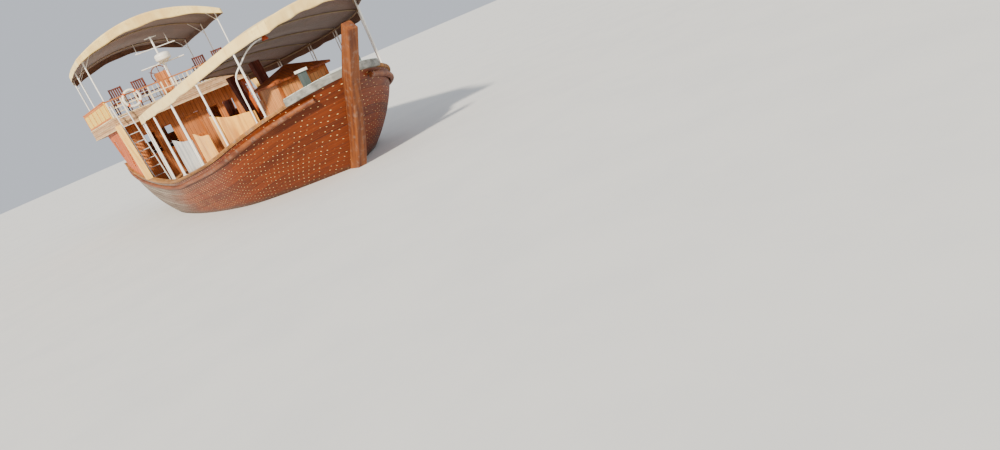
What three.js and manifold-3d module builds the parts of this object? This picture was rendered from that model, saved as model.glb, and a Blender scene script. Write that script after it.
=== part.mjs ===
// A wooden motor dhow with awnings, an upper deck aft and a raked stem, at real size.
// Millimetres. +X is towards the bow, +Y to port, +Z up, and z = 0 is the waterline.
// The origin is amidships on the centreline.

import * as THREE from 'three';
import { mergeVertices } from 'three/addons/utils/BufferGeometryUtils.js';
import Module from 'manifold-3d';

const wasm = await Module();
wasm.setup();

// Driving dimensions

const SEAT = 0.3; // the gap left between pieces that touch
const RUNNING_GAP = 0.8; // added to a shaft's radius for its bore
const PORT = 1;
const STARBOARD = -1;

// Hull stations from the transom to the stem. A station's side runs from the keel line
// up to the rail: its half-breadth grows as (1 - (1 - v)^turn)^swell and its x moves from
// keelX to railX as v^rake, where v is the height fraction.
const STATIONS = [
  { railX: -8000, keelX: -6800, halfBeam: 2350, railZ: 2170, keelZ: -250, turn: 3.0, swell: 0.75, rake: 1.0 },
  { railX: -6400, keelX: -5600, halfBeam: 2600, railZ: 1900, keelZ: -620, turn: 2.6, swell: 0.76, rake: 1.0 },
  { railX: -4500, keelX: -4100, halfBeam: 2760, railZ: 1610, keelZ: -960, turn: 2.8, swell: 0.7, rake: 1.0 },
  { railX: -2300, keelX: -2200, halfBeam: 2810, railZ: 1330, keelZ: -1180, turn: 3.0, swell: 0.62, rake: 1.0 },
  { railX: 0, keelX: -400, halfBeam: 2830, railZ: 1210, keelZ: -1290, turn: 3.1, swell: 0.6, rake: 0.9 },
  { railX: 1900, keelX: 900, halfBeam: 2825, railZ: 1320, keelZ: -1320, turn: 3.0, swell: 0.62, rake: 0.8 },
  { railX: 3800, keelX: 2100, halfBeam: 2790, railZ: 1470, keelZ: -1335, turn: 2.6, swell: 0.7, rake: 0.7 },
  { railX: 5300, keelX: 3000, halfBeam: 2720, railZ: 1650, keelZ: -1340, turn: 2.2, swell: 0.8, rake: 0.65 },
  { railX: 6400, keelX: 3600, halfBeam: 2450, railZ: 1860, keelZ: -1345, turn: 1.8, swell: 0.9, rake: 0.62 },
  { railX: 7300, keelX: 4080, halfBeam: 1920, railZ: 2070, keelZ: -1345, turn: 1.5, swell: 1.0, rake: 0.6 },
  { railX: 8000, keelX: 4400, halfBeam: 1257, railZ: 2230, keelZ: -1345, turn: 1.3, swell: 1.1, rake: 0.6 },
  { railX: 8500, keelX: 4560, halfBeam: 620, railZ: 2320, keelZ: -1345, turn: 1.15, swell: 1.15, rake: 0.6 },
  { railX: 8750, keelX: 4640, halfBeam: 112, railZ: 2360, keelZ: -1345, turn: 1.0, swell: 1.0, rake: 0.6 },
];
const LAST_STATION = STATIONS.length - 1;
const KEEL_HALF = 110; // half width of the flat under the hull that the keel meets
const BULWARK = 100; // thickness of the bulwark above the deck
const BULWARK_HEIGHT = 620; // from the deck planks to the hull's top edge
const DECK_PLANK = 45;
const CAP_THICK = 85;

// Sampling of the loft

const SECTION_STEPS = 9;
const STEPS_PER_STATION = 2;

// Turning solids into meshes and back

function solid(geometry) {
  const bare = geometry.clone();
  for (const name of Object.keys(bare.attributes)) {
    if (name !== 'position') bare.deleteAttribute(name);
  }
  const merged = mergeVertices(bare, 1e-3);
  return new wasm.Manifold(new wasm.Mesh({
    numProp: 3,
    vertProperties: new Float32Array(merged.attributes.position.array),
    triVerts: new Uint32Array(merged.index.array),
  }));
}

function geometryOf(manifold) {
  const mesh = manifold.getMesh();
  const geometry = new THREE.BufferGeometry();
  const places = new Float32Array(mesh.vertProperties);
  geometry.setAttribute('position', new THREE.BufferAttribute(places, 3));
  geometry.setIndex(new THREE.BufferAttribute(new Uint32Array(mesh.triVerts), 1));
  return geometry;
}

function join(pieces) {
  return pieces.reduce((whole, piece) => whole.add(piece));
}

function cut(whole, tools) {
  return tools.reduce((left, tool) => left.subtract(tool), whole);
}

// Basic solids

function block(low, high) {
  const size = high.map((value, axis) => value - low[axis]);
  const centre = high.map((value, axis) => (value + low[axis]) / 2);
  return solid(new THREE.BoxGeometry(...size).translate(...centre));
}

// A round bar between two points.
function rod(from, to, radius, sides = 8) {
  const start = new THREE.Vector3(...from);
  const end = new THREE.Vector3(...to);
  const along = end.clone().sub(start);
  const bar = new THREE.CylinderGeometry(radius, radius, along.length(), sides);
  const turn = new THREE.Quaternion().setFromUnitVectors(new THREE.Vector3(0, 1, 0), along.clone().normalize());
  bar.applyQuaternion(turn);
  const middle = start.add(end).multiplyScalar(0.5);
  return solid(bar.translate(middle.x, middle.y, middle.z));
}

// A closed skin through rings of points. Each ring lists one side and then the other side
// backwards, so that point i faces point n - 1 - i, and the ends close with strips.
function loft(rings) {
  const count = rings[0].length;
  const corners = [];
  const quad = (a, b, c, d) => corners.push(a, b, c, a, c, d);
  for (let ring = 0; ring + 1 < rings.length; ring += 1) {
    for (let i = 0; i < count; i += 1) {
      const j = (i + 1) % count;
      quad(ring * count + i, ring * count + j, (ring + 1) * count + j, (ring + 1) * count + i);
    }
  }
  const last = (rings.length - 1) * count;
  for (let i = 0; i + 1 < count / 2; i += 1) {
    quad(i, count - 1 - i, count - 2 - i, i + 1);
    quad(last + i, last + i + 1, last + count - 2 - i, last + count - 1 - i);
  }
  const places = rings.flat(2);
  const volume = signedVolume(places, corners);
  if (volume < 0) corners.reverse();
  const geometry = new THREE.BufferGeometry();
  geometry.setAttribute('position', new THREE.Float32BufferAttribute(places, 3));
  geometry.setIndex(corners);
  return solid(geometry);
}

function signedVolume(places, corners) {
  const point = (i) => new THREE.Vector3().fromArray(places, corners[i] * 3);
  let sum = 0;
  for (let i = 0; i < corners.length; i += 3) {
    sum += point(i).dot(point(i + 1).cross(point(i + 2)));
  }
  return sum / 6;
}

// A straight timber of rectangular section, width along Y and depth in the X-Z plane.
function timber(from, to, width, depth) {
  const start = new THREE.Vector3(...from);
  const end = new THREE.Vector3(...to);
  const half = depth / 2;
  const ring = (p) => [
    [p.x - half, p.y - width / 2, p.z],
    [p.x + half, p.y - width / 2, p.z],
    [p.x + half, p.y + width / 2, p.z],
    [p.x - half, p.y + width / 2, p.z],
  ];
  return loft([ring(start), ring(end)]);
}

// A round tube bent at each of a list of points. Its rings stand square to the way along
// it, with one corner line in the direction of the level vector beside.
function tube(points, radius, beside, sides = 8) {
  const path = points.map((p) => new THREE.Vector3(...p));
  const rings = path.map((point, i) => {
    const along = path[Math.min(i + 1, path.length - 1)].clone().sub(path[Math.max(i - 1, 0)]).normalize();
    const side = new THREE.Vector3(...beside).addScaledVector(along, -along.dot(new THREE.Vector3(...beside)));
    side.normalize();
    const up = along.clone().cross(side);
    return Array.from({ length: sides }, (_, corner) => {
      const angle = (2 * Math.PI * (corner + 0.5)) / sides;
      const p = point.clone().addScaledVector(side, radius * Math.cos(angle));
      return p.addScaledVector(up, radius * Math.sin(angle)).toArray();
    });
  });
  return loft(rings);
}

const ATHWART = [1, 0, 0]; // beside vector of tubes that run across the boat
const LENGTHWISE = [0, 1, 0]; // beside vector of tubes that run along it

// Hull surface

function smooth(column, at) {
  const index = Math.min(Math.max(Math.floor(at), 0), LAST_STATION - 1);
  const value = (i) => STATIONS[Math.min(Math.max(i, 0), LAST_STATION)][column];
  const t = at - index;
  const [a, b, c, d] = [value(index - 1), value(index), value(index + 1), value(index + 2)];
  const slopeIn = (c - a) / 2;
  const slopeOut = (d - b) / 2;
  const t2 = t * t;
  const t3 = t2 * t;
  return (2 * t3 - 3 * t2 + 1) * b + (t3 - 2 * t2 + t) * slopeIn + (3 * t2 - 2 * t3) * c + (t3 - t2) * slopeOut;
}

function stationList(from, to) {
  const steps = Math.ceil((to - from) * STEPS_PER_STATION);
  return Array.from({ length: steps + 1 }, (_, i) => from + ((to - from) * i) / steps);
}

// The station number whose rail is at x.
function stationAt(x) {
  let low = 0;
  let high = LAST_STATION;
  for (let i = 0; i < 40; i += 1) {
    const middle = (low + high) / 2;
    if (smooth('railX', middle) < x) low = middle;
    else high = middle;
  }
  return (low + high) / 2;
}

// The hull's top edge as the loft has it: straight between its stations.
const TOP_EDGE = stationList(0, LAST_STATION).map((station) => ({
  x: smooth('railX', station), beam: smooth('halfBeam', station), z: smooth('railZ', station),
}));

function topEdgeAt(x) {
  const i = Math.min(Math.max(TOP_EDGE.findIndex((p) => p.x > x), 1), TOP_EDGE.length - 1);
  const [a, b] = x > TOP_EDGE.at(-1).x ? TOP_EDGE.slice(-2) : [TOP_EDGE[i - 1], TOP_EDGE[i]];
  const t = Math.max((x - a.x) / (b.x - a.x), 0);
  return { beam: a.beam + (b.beam - a.beam) * t, z: a.z + (b.z - a.z) * t };
}

const beamAt = (x) => topEdgeAt(x).beam;
const railZAt = (x) => topEdgeAt(x).z;
const deckZAt = (x) => railZAt(x) - BULWARK_HEIGHT;

function hullPoint(station, v, outset = 0) {
  const beam = smooth('halfBeam', station);
  const spread = (1 - (1 - v) ** smooth('turn', station)) ** smooth('swell', station);
  const keelX = smooth('keelX', station);
  const keelZ = smooth('keelZ', station);
  return {
    x: keelX + (smooth('railX', station) - keelX) * v ** smooth('rake', station),
    y: KEEL_HALF + (beam - KEEL_HALF) * spread + outset,
    z: keelZ + (smooth('railZ', station) - keelZ) * v,
  };
}

function mirrored(side) {
  const starboard = side.map((p) => [p.x, -p.y, p.z]);
  const port = side.map((p) => [p.x, p.y, p.z]).reverse();
  return [...starboard, ...port];
}

// Height fractions of a section's points, closer together near the keel.
const LEVELS = Array.from({ length: SECTION_STEPS + 1 }, (_, i) => (i / SECTION_STEPS) ** 1.5);

// The hull filled up to its rail, grown on all sides but the bottom by outset.
function hullBody(outset = 0) {
  const rings = stationList(0, LAST_STATION).map((station) => {
    const side = LEVELS.map((v) => hullPoint(station, v, outset));
    side.at(-1).z += outset;
    return mirrored(side);
  });
  for (const corner of rings[0]) corner[0] -= outset;
  for (const corner of rings.at(-1)) corner[0] += outset;
  return loft(rings);
}

// A layer along the deck between two heights from the planks, inset from the hull's side.
// Its two ends may be moved along x.
function deckLayer(stations, inset, below, above, [aftShift, foreShift] = [0, 0]) {
  const rings = stations.map((station) => {
    const railZ = smooth('railZ', station);
    const keelZ = smooth('keelZ', station);
    const atHeight = (z) => hullPoint(station, Math.min((z - keelZ) / (railZ - keelZ), 1));
    const lowZ = railZ - BULWARK_HEIGHT - below;
    const highZ = railZ - BULWARK_HEIGHT + above;
    const low = atHeight(railZ - BULWARK_HEIGHT - DECK_PLANK);
    const high = above > 0 ? atHeight(highZ) : low;
    return mirrored([
      { x: low.x, y: low.y - inset, z: lowZ },
      { x: high.x, y: high.y - inset, z: highZ },
    ]);
  });
  for (const corner of rings[0]) corner[0] += aftShift;
  for (const corner of rings.at(-1)) corner[0] += foreShift;
  return loft(rings);
}

// Half-breadth of the rail's plan outline at x, moved outwards by outset square to it.
function planY(x, outset) {
  const step = 60;
  const slope = (beamAt(x + step) - beamAt(x - step)) / (2 * step);
  return beamAt(x) + outset * Math.min(Math.hypot(1, slope), 2.4);
}

function railStations(fromX, toX) {
  return [fromX, ...TOP_EDGE.map((p) => p.x).filter((x) => x > fromX + 1 && x < toX - 1), toX];
}

// A slab over the rail's outline, moved outwards by outset, between two heights above the rail.
function railSlab(fromX, toX, outset, low, high, overhang = 0) {
  const rings = railStations(fromX, toX).map((x) => {
    const y = planY(x, outset);
    const z = railZAt(x);
    return mirrored([{ x, y, z: z + low }, { x, y, z: z + high }]);
  });
  if (overhang > 0) {
    const aft = rings[0].map(([x, y, z]) => [x - overhang, y, z]);
    rings.unshift(aft);
  }
  return loft(rings);
}

// Materials, by name

const FINISHES = {
  planking: { color: 0x8a4423, roughness: 0.55, metalness: 0 },
  timberLight: { color: 0xc08a50, roughness: 0.6, metalness: 0 },
  timberDark: { color: 0x6b3420, roughness: 0.6, metalness: 0 },
  deckWood: { color: 0x9a6a42, roughness: 0.7, metalness: 0 },
  yellowPaint: { color: 0xd9b25e, roughness: 0.5, metalness: 0 },
  whitePaint: { color: 0xe8e4d8, roughness: 0.45, metalness: 0 },
  greyPaint: { color: 0xb8bfbc, roughness: 0.5, metalness: 0 },
  canvas: { color: 0xe6d3a4, roughness: 0.9, metalness: 0 },
  canvasGrey: { color: 0xaab0b2, roughness: 0.9, metalness: 0 },
  steel: { color: 0x9aa0a4, roughness: 0.35, metalness: 0.8 },
  bronze: { color: 0xa8793a, roughness: 0.35, metalness: 0.9 },
  buoyOrange: { color: 0xd9682c, roughness: 0.6, metalness: 0 },
};

const boat = new THREE.Group();

function add(name, manifold, finish) {
  const mesh = new THREE.Mesh(geometryOf(manifold), new THREE.MeshStandardMaterial(FINISHES[finish]));
  mesh.name = name;
  boat.add(mesh);
}

// Hull, deck and keel

const WELL_AFT = stationAt(-7880);
const WELL_FORE = stationAt(8150);
const STERN_END = stationList(0, WELL_AFT);
const WELL = stationList(WELL_AFT, WELL_FORE);
const BOW_END = stationList(WELL_FORE, LAST_STATION);
const TOP_CLEAR = 700;
const PAST = 500; // how far a cutting layer reaches past the hull
const hullWell = deckLayer(WELL, BULWARK, DECK_PLANK, TOP_CLEAR);

// The space above the underside of the deck planks, raised a little.
function aboveDeck(stations, raise, shifts) {
  return deckLayer(stations, -PAST, DECK_PLANK - raise, TOP_CLEAR, shifts);
}

const wholeLength = [...STERN_END, ...WELL.slice(1), ...BOW_END.slice(1)];
const hull = hullBody().subtract(aboveDeck(wholeLength, 0, [-PAST, PAST]));
const transomBoard = hullBody().intersect(aboveDeck(STERN_END, SEAT, [-PAST, -SEAT]));
const stemBlock = hullBody().intersect(aboveDeck(BOW_END, SEAT, [SEAT, PAST]));
const bulwarks = hullBody().intersect(aboveDeck(WELL, SEAT)).subtract(hullWell);

function bulwark(side) {
  const far = side * 4000;
  return bulwarks.intersect(block([-9000, Math.min(0, far), -2000], [9000, Math.max(0, far), 4000]));
}

const deckInset = BULWARK + SEAT;
const mainDeck = deckLayer(WELL, deckInset, DECK_PLANK - SEAT, 0, [SEAT, -SEAT]);

// The transom's slope continues down the sternpost, and the rudder turns about a line
// parallel to it. Along is up the sternpost and out is aft, square to it.
const TRANSOM_SLOPE = (STATIONS[0].railX - STATIONS[0].keelX) / (STATIONS[0].railZ - STATIONS[0].keelZ);
const slopeLength = Math.hypot(1, TRANSOM_SLOPE);
const ALONG = { x: TRANSOM_SLOPE / slopeLength, z: 1 / slopeLength };
const OUT = { x: -ALONG.z, z: ALONG.x };
const transomX = (z) => STATIONS[0].keelX + (z - STATIONS[0].keelZ) * TRANSOM_SLOPE;

// A point at a height fraction up the sternpost line from z, moved out and aside.
function postPoint(z, out, y) {
  return [transomX(z) + OUT.x * out, y, z + OUT.z * out];
}

const KEEL_BOTTOM = -1600;
const KEEL_SIDE = 100;
const POST_DEPTH = 120;
const POST_TOP = 1880;
const PROP = { x: -5790, z: -1060, radius: 340, hubRadius: 75, hubLength: 210, shaftRadius: 35 };
const APERTURE = { aft: -6080, fore: -5500, low: -1460, high: -690 };

function keelSolid() {
  const under = (station) => {
    const p = hullPoint(station, 0);
    return { x: p.x, z: p.z - SEAT };
  };
  const rings = stationList(0, LAST_STATION).map((station) => {
    const p = under(station);
    return mirrored([{ x: p.x, y: KEEL_SIDE, z: KEEL_BOTTOM }, { x: p.x, y: KEEL_SIDE, z: p.z }]);
  });
  rings.at(-1).forEach((corner) => {
    corner[0] -= SEAT;
  });
  const heelX = transomX(KEEL_BOTTOM);
  rings[0] = rings[0].map(([x, y, z]) => (z === KEEL_BOTTOM ? [heelX, y, z] : [x, y, z]));
  const backbone = loft(rings);
  const post = loft([KEEL_BOTTOM, POST_TOP].map((z) => [
    postPoint(z, SEAT, -KEEL_SIDE),
    postPoint(z, POST_DEPTH, -KEEL_SIDE),
    postPoint(z, POST_DEPTH, KEEL_SIDE),
    postPoint(z, SEAT, KEEL_SIDE),
  ]));
  const heelWedge = loft([KEEL_BOTTOM, STATIONS[0].keelZ - 120].map((z) => [
    postPoint(z, -60, -KEEL_SIDE),
    postPoint(z, POST_DEPTH, -KEEL_SIDE),
    postPoint(z, POST_DEPTH, KEEL_SIDE),
    postPoint(z, -60, KEEL_SIDE),
  ]));
  const aperture = block(
    [APERTURE.aft, -KEEL_SIDE * 2, APERTURE.low],
    [APERTURE.fore, KEEL_SIDE * 2, APERTURE.high],
  );
  const bore = rod([APERTURE.fore + 160, 0, PROP.z], [APERTURE.fore - 60, 0, PROP.z], PROP.shaftRadius + RUNNING_GAP, 32);
  return cut(join([backbone, post, heelWedge]), [aperture, bore]);
}

// Rudder and its gudgeons

const RUDDER = {
  axisOut: POST_DEPTH + 62, noseRadius: 46, half: 38, pin: 18,
  heelZ: -1530, headZ: 1740,
};
const GUDGEON_Z = [-1250, -150, 1250]; // heights of the three hinges on the sternpost
const GUDGEON_HALF = 60;

function axisPoint(z, y = 0) {
  return postPoint(z, RUDDER.axisOut, y);
}

function alongAxis(z, from, to) {
  const p = axisPoint(z);
  return [from, to].map((d) => [p[0] + ALONG.x * d, 0, p[2] + ALONG.z * d]);
}

function gudgeon(z) {
  const [low, high] = alongAxis(z, -GUDGEON_HALF, GUDGEON_HALF);
  const eye = rod(low, high, RUDDER.noseRadius, 16);
  const armHalf = 30;
  const corner = (along, out, y) => {
    const p = postPoint(z, out, y);
    return [p[0] + ALONG.x * along, y, p[2] + ALONG.z * along];
  };
  const arm = loft([-GUDGEON_HALF, GUDGEON_HALF].map((along) => [
    corner(along, POST_DEPTH - 20, -armHalf),
    corner(along, RUDDER.axisOut, -armHalf),
    corner(along, RUDDER.axisOut, armHalf),
    corner(along, POST_DEPTH - 20, armHalf),
  ]));
  const [boreLow, boreHigh] = alongAxis(z, -GUDGEON_HALF * 2, GUDGEON_HALF * 2);
  return eye.add(arm).subtract(rod(boreLow, boreHigh, RUDDER.pin + RUNNING_GAP, 16));
}

// The blade's outline: height along the axis from the heel, and distance aft of the axis.
const BLADE = [
  { up: 0, aft: 0 }, { up: 320, aft: 640 }, { up: 760, aft: 760 }, { up: 1400, aft: 700 },
  { up: 2000, aft: 420 }, { up: 2600, aft: 240 }, { up: 3620, aft: 170 }, { up: 3620, aft: 0 },
];

function rudderSolid() {
  const outline = new THREE.Shape(BLADE.map((p) => new THREE.Vector2(p.aft, p.up)));
  const plate = new THREE.ExtrudeGeometry(outline, { depth: 2 * RUDDER.half, bevelEnabled: false });
  const heel = axisPoint(RUDDER.heelZ);
  const basis = new THREE.Matrix4().set(
    OUT.x, ALONG.x, 0, heel[0],
    0, 0, -1, RUDDER.half,
    OUT.z, ALONG.z, 0, heel[2],
    0, 0, 0, 1,
  );
  plate.applyMatrix4(basis);
  if (basis.determinant() < 0) flip(plate);
  const topUp = BLADE.at(-1).up;
  const nose = rod(heel, [heel[0] + ALONG.x * topUp, 0, heel[2] + ALONG.z * topUp], RUDDER.noseRadius, 12);
  const notches = GUDGEON_Z.map((z) => rod(...alongAxis(z, -GUDGEON_HALF - 6, GUDGEON_HALF + 6), 80, 16));
  const pins = GUDGEON_Z.map((z) => rod(...alongAxis(z, -GUDGEON_HALF - 20, GUDGEON_HALF + 20), RUDDER.pin, 16));
  return join([cut(solid(plate).add(nose), notches), ...pins]);
}

function flip(geometry) {
  const places = geometry.attributes.position.array;
  for (let i = 0; i < places.length; i += 9) {
    for (let axis = 0; axis < 3; axis += 1) {
      const kept = places[i + 3 + axis];
      places[i + 3 + axis] = places[i + 6 + axis];
      places[i + 6 + axis] = kept;
    }
  }
}

// Propeller: a hub, a shaft end and three twisted blades

function propellerSolid() {
  const half = PROP.hubLength / 2;
  const hub = rod([PROP.x - half, 0, PROP.z], [PROP.x + half, 0, PROP.z], PROP.hubRadius, 20);
  const shaft = rod([PROP.x, 0, PROP.z], [APERTURE.fore + 140, 0, PROP.z], PROP.shaftRadius, 32);
  const pitchAngles = { root: 1.0, tip: 0.45 };
  const blades = [0, 1, 2].map((number) => {
    const rings = [0, 0.25, 0.5, 0.75, 1].map((r) => {
      const radius = PROP.hubRadius * 0.6 + (PROP.radius - PROP.hubRadius * 0.6) * r;
      const chord = 150 * Math.sqrt(Math.max(1 - (r - 0.4) ** 2 / 0.42, 0.05));
      const angle = pitchAngles.root + (pitchAngles.tip - pitchAngles.root) * r;
      const thick = 11 - 5 * r;
      const corner = (c, t) => [
        PROP.x + c * Math.sin(angle) + t * Math.cos(angle),
        c * Math.cos(angle) - t * Math.sin(angle),
        radius,
      ];
      return [corner(-chord, -thick), corner(chord, -thick), corner(chord, thick), corner(-chord, thick)];
    });
    const turn = (2 * Math.PI * number) / 3;
    return loft(rings.map((ring) => ring.map(([x, y, z]) => [
      x, y * Math.cos(turn) - z * Math.sin(turn), PROP.z + y * Math.sin(turn) + z * Math.cos(turn),
    ])));
  });
  return join([hub, shaft, ...blades]);
}

// Stem post: it follows the hull's fore edge and runs on above the rail

const STEM = { half: 130, depth: 400, headDepth: 300, headX: 9890, headZ: 3500 };

function stemProfile() {
  const points = LEVELS.map((v) => {
    const p = hullPoint(LAST_STATION, v);
    return new THREE.Vector2(p.x, p.z);
  });
  points.push(new THREE.Vector2(STEM.headX, STEM.headZ));
  return points;
}

function stemSolid(grow = 0) {
  const inner = stemProfile();
  const rings = inner.map((p, i) => {
    const before = inner[Math.max(i - 1, 0)];
    const after = inner[Math.min(i + 1, inner.length - 1)];
    const along = i === 0 ? new THREE.Vector2(1, 0) : after.clone().sub(before).normalize();
    const out = new THREE.Vector2(along.y, -along.x);
    const depth = i === inner.length - 1 ? STEM.headDepth : STEM.depth;
    const near = p.clone().addScaledVector(out, SEAT - grow);
    const far = p.clone().addScaledVector(out, depth + grow);
    const w = STEM.half + grow;
    return [[near.x, -w, near.y], [far.x, -w, far.y], [far.x, w, far.y], [near.x, w, near.y]];
  });
  return loft(rings);
}

// Rail, rubbing strake and bow platform

const BOW_PLATFORM = { aftX: 7950, foreX: 8740, outset: 95, thick: 190 };
const CAP = { out: 75, in: -130, aft: -8000, fore: BOW_PLATFORM.aftX - 3, overhang: 90, transomFore: -7860 };
const capOuter = railSlab(CAP.aft, CAP.fore, CAP.out, SEAT, CAP_THICK, CAP.overhang);
const capInner = railSlab(CAP.transomFore, CAP.fore + 200, CAP.in, -200, CAP_THICK + 50);
const rubLow = -235;
const rubHigh = -105;
const rubOuter = railSlab(-7960, 8340, 80, rubLow, rubHigh, 110);
const capZone = railSlab(CAP.aft, CAP.fore, CAP.out, -100, CAP_THICK + SEAT, CAP.overhang).subtract(capInner);

// Door hinges

// The pin stands off the wall's face. The wall carries it in two lugs, and the door turns
// on it with a bored knuckle on a strap.
const DOOR_GAP = 6;
const DOOR_INSET = 4; // the door's outer face lies this far inside the wall's
const HINGE = { standOff: 15, radius: 9, pin: 6, half: 30, lug: 14, leaf: 45, bite: 6, endGap: 3 };

// One hinge at height z. Its x runs along the door from the pin and its y out of the wall.
function hinge(z) {
  const { standOff, radius, pin, half, lug, leaf, bite, endGap } = HINGE;
  const upright = (low, high, r, sides) => rod([0, 0, low], [0, 0, high], r, sides);
  const lugs = [z - half - endGap - lug, z + half + endGap].map((low) => (
    upright(low, low + lug, radius, 12).add(block([-leaf, -standOff - bite, low], [0, radius - 1, low + lug]))
  ));
  const pinBar = upright(z - half - endGap - lug, z + half + endGap + lug, pin, 16);
  const tang = block([-pin, -standOff + 2, z - half], [leaf, -pin - 1.5, z + half]);
  const strap = block([DOOR_GAP, -standOff - DOOR_INSET - bite, z - half], [leaf, -pin - 1.5, z + half]);
  const bore = upright(z - half * 2, z + half * 2, pin + RUNNING_GAP, 16);
  return {
    onWall: join([...lugs, pinBar]),
    onDoor: cut(join([upright(z - half, z + half, radius, 12), tang, strap]), [bore]),
  };
}

// The hinges of a door, moved to their pin's place and turned about it.
function doorHinges(heights, place, degrees) {
  return heights.map(hinge).map(({ onWall, onDoor }) => ({
    onWall: onWall.rotate([0, 0, degrees]).translate([...place, 0]),
    onDoor: onDoor.rotate([0, 0, degrees]).translate([...place, 0]),
  }));
}

// Deck houses

const HOUSE = { aft: 4850, fore: 6350, half: 750, top: 2800, wall: 50 };
const HOUSE_DOOR = { aft: 5270, fore: 5930, top: 2640, sill: 140 };
const doorSill = railZAt(HOUSE_DOOR.fore) - BULWARK_HEIGHT + HOUSE_DOOR.sill;
const LOCKER = { aft: 4330, half: 730, top: 2560 };

const houseHinges = doorHinges(
  [doorSill + 220, HOUSE_DOOR.top - 220],
  [HOUSE_DOOR.aft + DOOR_GAP / 2, HOUSE.half + HINGE.standOff],
  0,
);

// A slab below everything on the deck, used to cut feet to the deck's slope.
const deckCut = deckLayer(WELL, deckInset, 600, 0).translate([0, 0, SEAT]);

function houseWalls() {
  const low = deckZAt(HOUSE.aft) - 100;
  const shell = block([HOUSE.aft, -HOUSE.half, low], [HOUSE.fore, HOUSE.half, HOUSE.top]);
  const inside = block(
    [HOUSE.aft + HOUSE.wall, -HOUSE.half + HOUSE.wall, low - 10],
    [HOUSE.fore - HOUSE.wall, HOUSE.half - HOUSE.wall, HOUSE.top + 10],
  );
  const doorway = block(
    [HOUSE_DOOR.aft, HOUSE.half - HOUSE.wall * 2, doorSill],
    [HOUSE_DOOR.fore, HOUSE.half + HOUSE.wall, HOUSE_DOOR.top],
  );
  return join([cut(shell, [inside, doorway, deckCut]), ...houseHinges.map((h) => h.onWall)]);
}

function houseRoof() {
  const eave = 140;
  const rise = 330;
  const board = 60;
  const low = HOUSE.top + SEAT;
  const [a, b, w] = [HOUSE.aft - eave, HOUSE.fore + eave, HOUSE.half + eave];
  const ring = (inset, z) => [
    [a + inset, -w + inset, z], [b - inset, -w + inset, z], [b - inset, w - inset, z], [a + inset, w - inset, z],
  ];
  return loft([ring(0, low), ring(0, low + board), ring(w - 60, low + board + rise)]);
}

function houseDoor() {
  const leaf = block(
    [HOUSE_DOOR.aft + DOOR_GAP, HOUSE.half - HOUSE.wall + DOOR_INSET, doorSill + DOOR_GAP],
    [HOUSE_DOOR.fore - DOOR_GAP, HOUSE.half - DOOR_INSET, HOUSE_DOOR.top - DOOR_GAP],
  );
  return join([leaf, ...houseHinges.map((h) => h.onDoor)]);
}

function locker() {
  const low = deckZAt(LOCKER.aft) - 100;
  const body = block([LOCKER.aft, -LOCKER.half, low], [HOUSE.aft - SEAT, LOCKER.half, LOCKER.top]);
  return body.subtract(deckCut);
}

// Hold hatch

const HATCH = { aft: -1700, fore: -300, half: 650, wall: 80, height: 260, lid: 45 };
const hatchTop = deckZAt(-1000) + HATCH.height;

function hatchCoaming() {
  const low = deckZAt(0) - 100;
  const outer = block([HATCH.aft, -HATCH.half, low], [HATCH.fore, HATCH.half, hatchTop]);
  const inner = block(
    [HATCH.aft + HATCH.wall, -HATCH.half + HATCH.wall, low - 10],
    [HATCH.fore - HATCH.wall, HATCH.half - HATCH.wall, hatchTop + 10],
  );
  return cut(outer, [inner, deckCut]);
}

function hatchLid() {
  const over = 40;
  return block(
    [HATCH.aft - over, -HATCH.half - over, hatchTop + SEAT],
    [HATCH.fore + over, HATCH.half + over, hatchTop + SEAT + HATCH.lid],
  );
}

// Lower awning on its pipe frame

const CLOTH = 24;
const VALANCE = 270;
// x along the boat, half width and height of the awning's edge, rise from the edge to the crown
const AWNING_EDGE = [
  { x: -3300, half: 2130, z: 3560, rise: 430 },
  { x: -3150, half: 2160, z: 3558, rise: 430 },
  { x: -800, half: 2620, z: 3540, rise: 430 },
  { x: 1600, half: 2850, z: 3590, rise: 430 },
  { x: 3800, half: 2815, z: 3660, rise: 420 },
  { x: 6000, half: 2610, z: 3830, rise: 370 },
  { x: 7400, half: 1880, z: 4100, rise: 290 },
  { x: 9000, half: 1420, z: 4200, rise: 170 },
];
const PIPE = 27;
const EDGE_PIPE = 22;
const ARCH_PIPE = 22;
const PIPE_DROP = 60; // from the awning's edge down to the edge pipe
const FRONT_INSET = 30;
const PORTAL_X = [-3150, -800, 1600, 3800, 6000, 7400];

function edgeAt(table, x) {
  const i = Math.max(1, table.findIndex((p) => p.x >= x));
  const [a, b] = [table[i - 1], table[i]];
  const t = (x - a.x) / (b.x - a.x);
  const between = (column) => a[column] + (b[column] - a[column]) * t;
  return { x, half: between('half'), z: between('z'), rise: between('rise') };
}

const ARCH_STEP = 0.25;
const ARCH = Array.from({ length: 2 / ARCH_STEP + 1 }, (_, i) => -1 + ARCH_STEP * i);

// The underside of a cloth at one place: across is -1 to 1 from starboard to port.
const underside = (edge, across) => edge.z + edge.rise * (1 - across * across);

function clothSolid(edges, valance) {
  const rings = edges.map((edge) => {
    const { x, half } = edge;
    const hem = edge.z - valance;
    const outer = ARCH.map((u) => [x, u * (half + CLOTH), underside(edge, u) + CLOTH]);
    const inner = ARCH.map((u) => [x, u * half, underside(edge, u)]).reverse();
    return [
      [x, -half - CLOTH, hem], ...outer, [x, half + CLOTH, hem],
      [x, half, hem], ...inner, [x, -half, hem],
    ];
  });
  return loft(rings);
}

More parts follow.
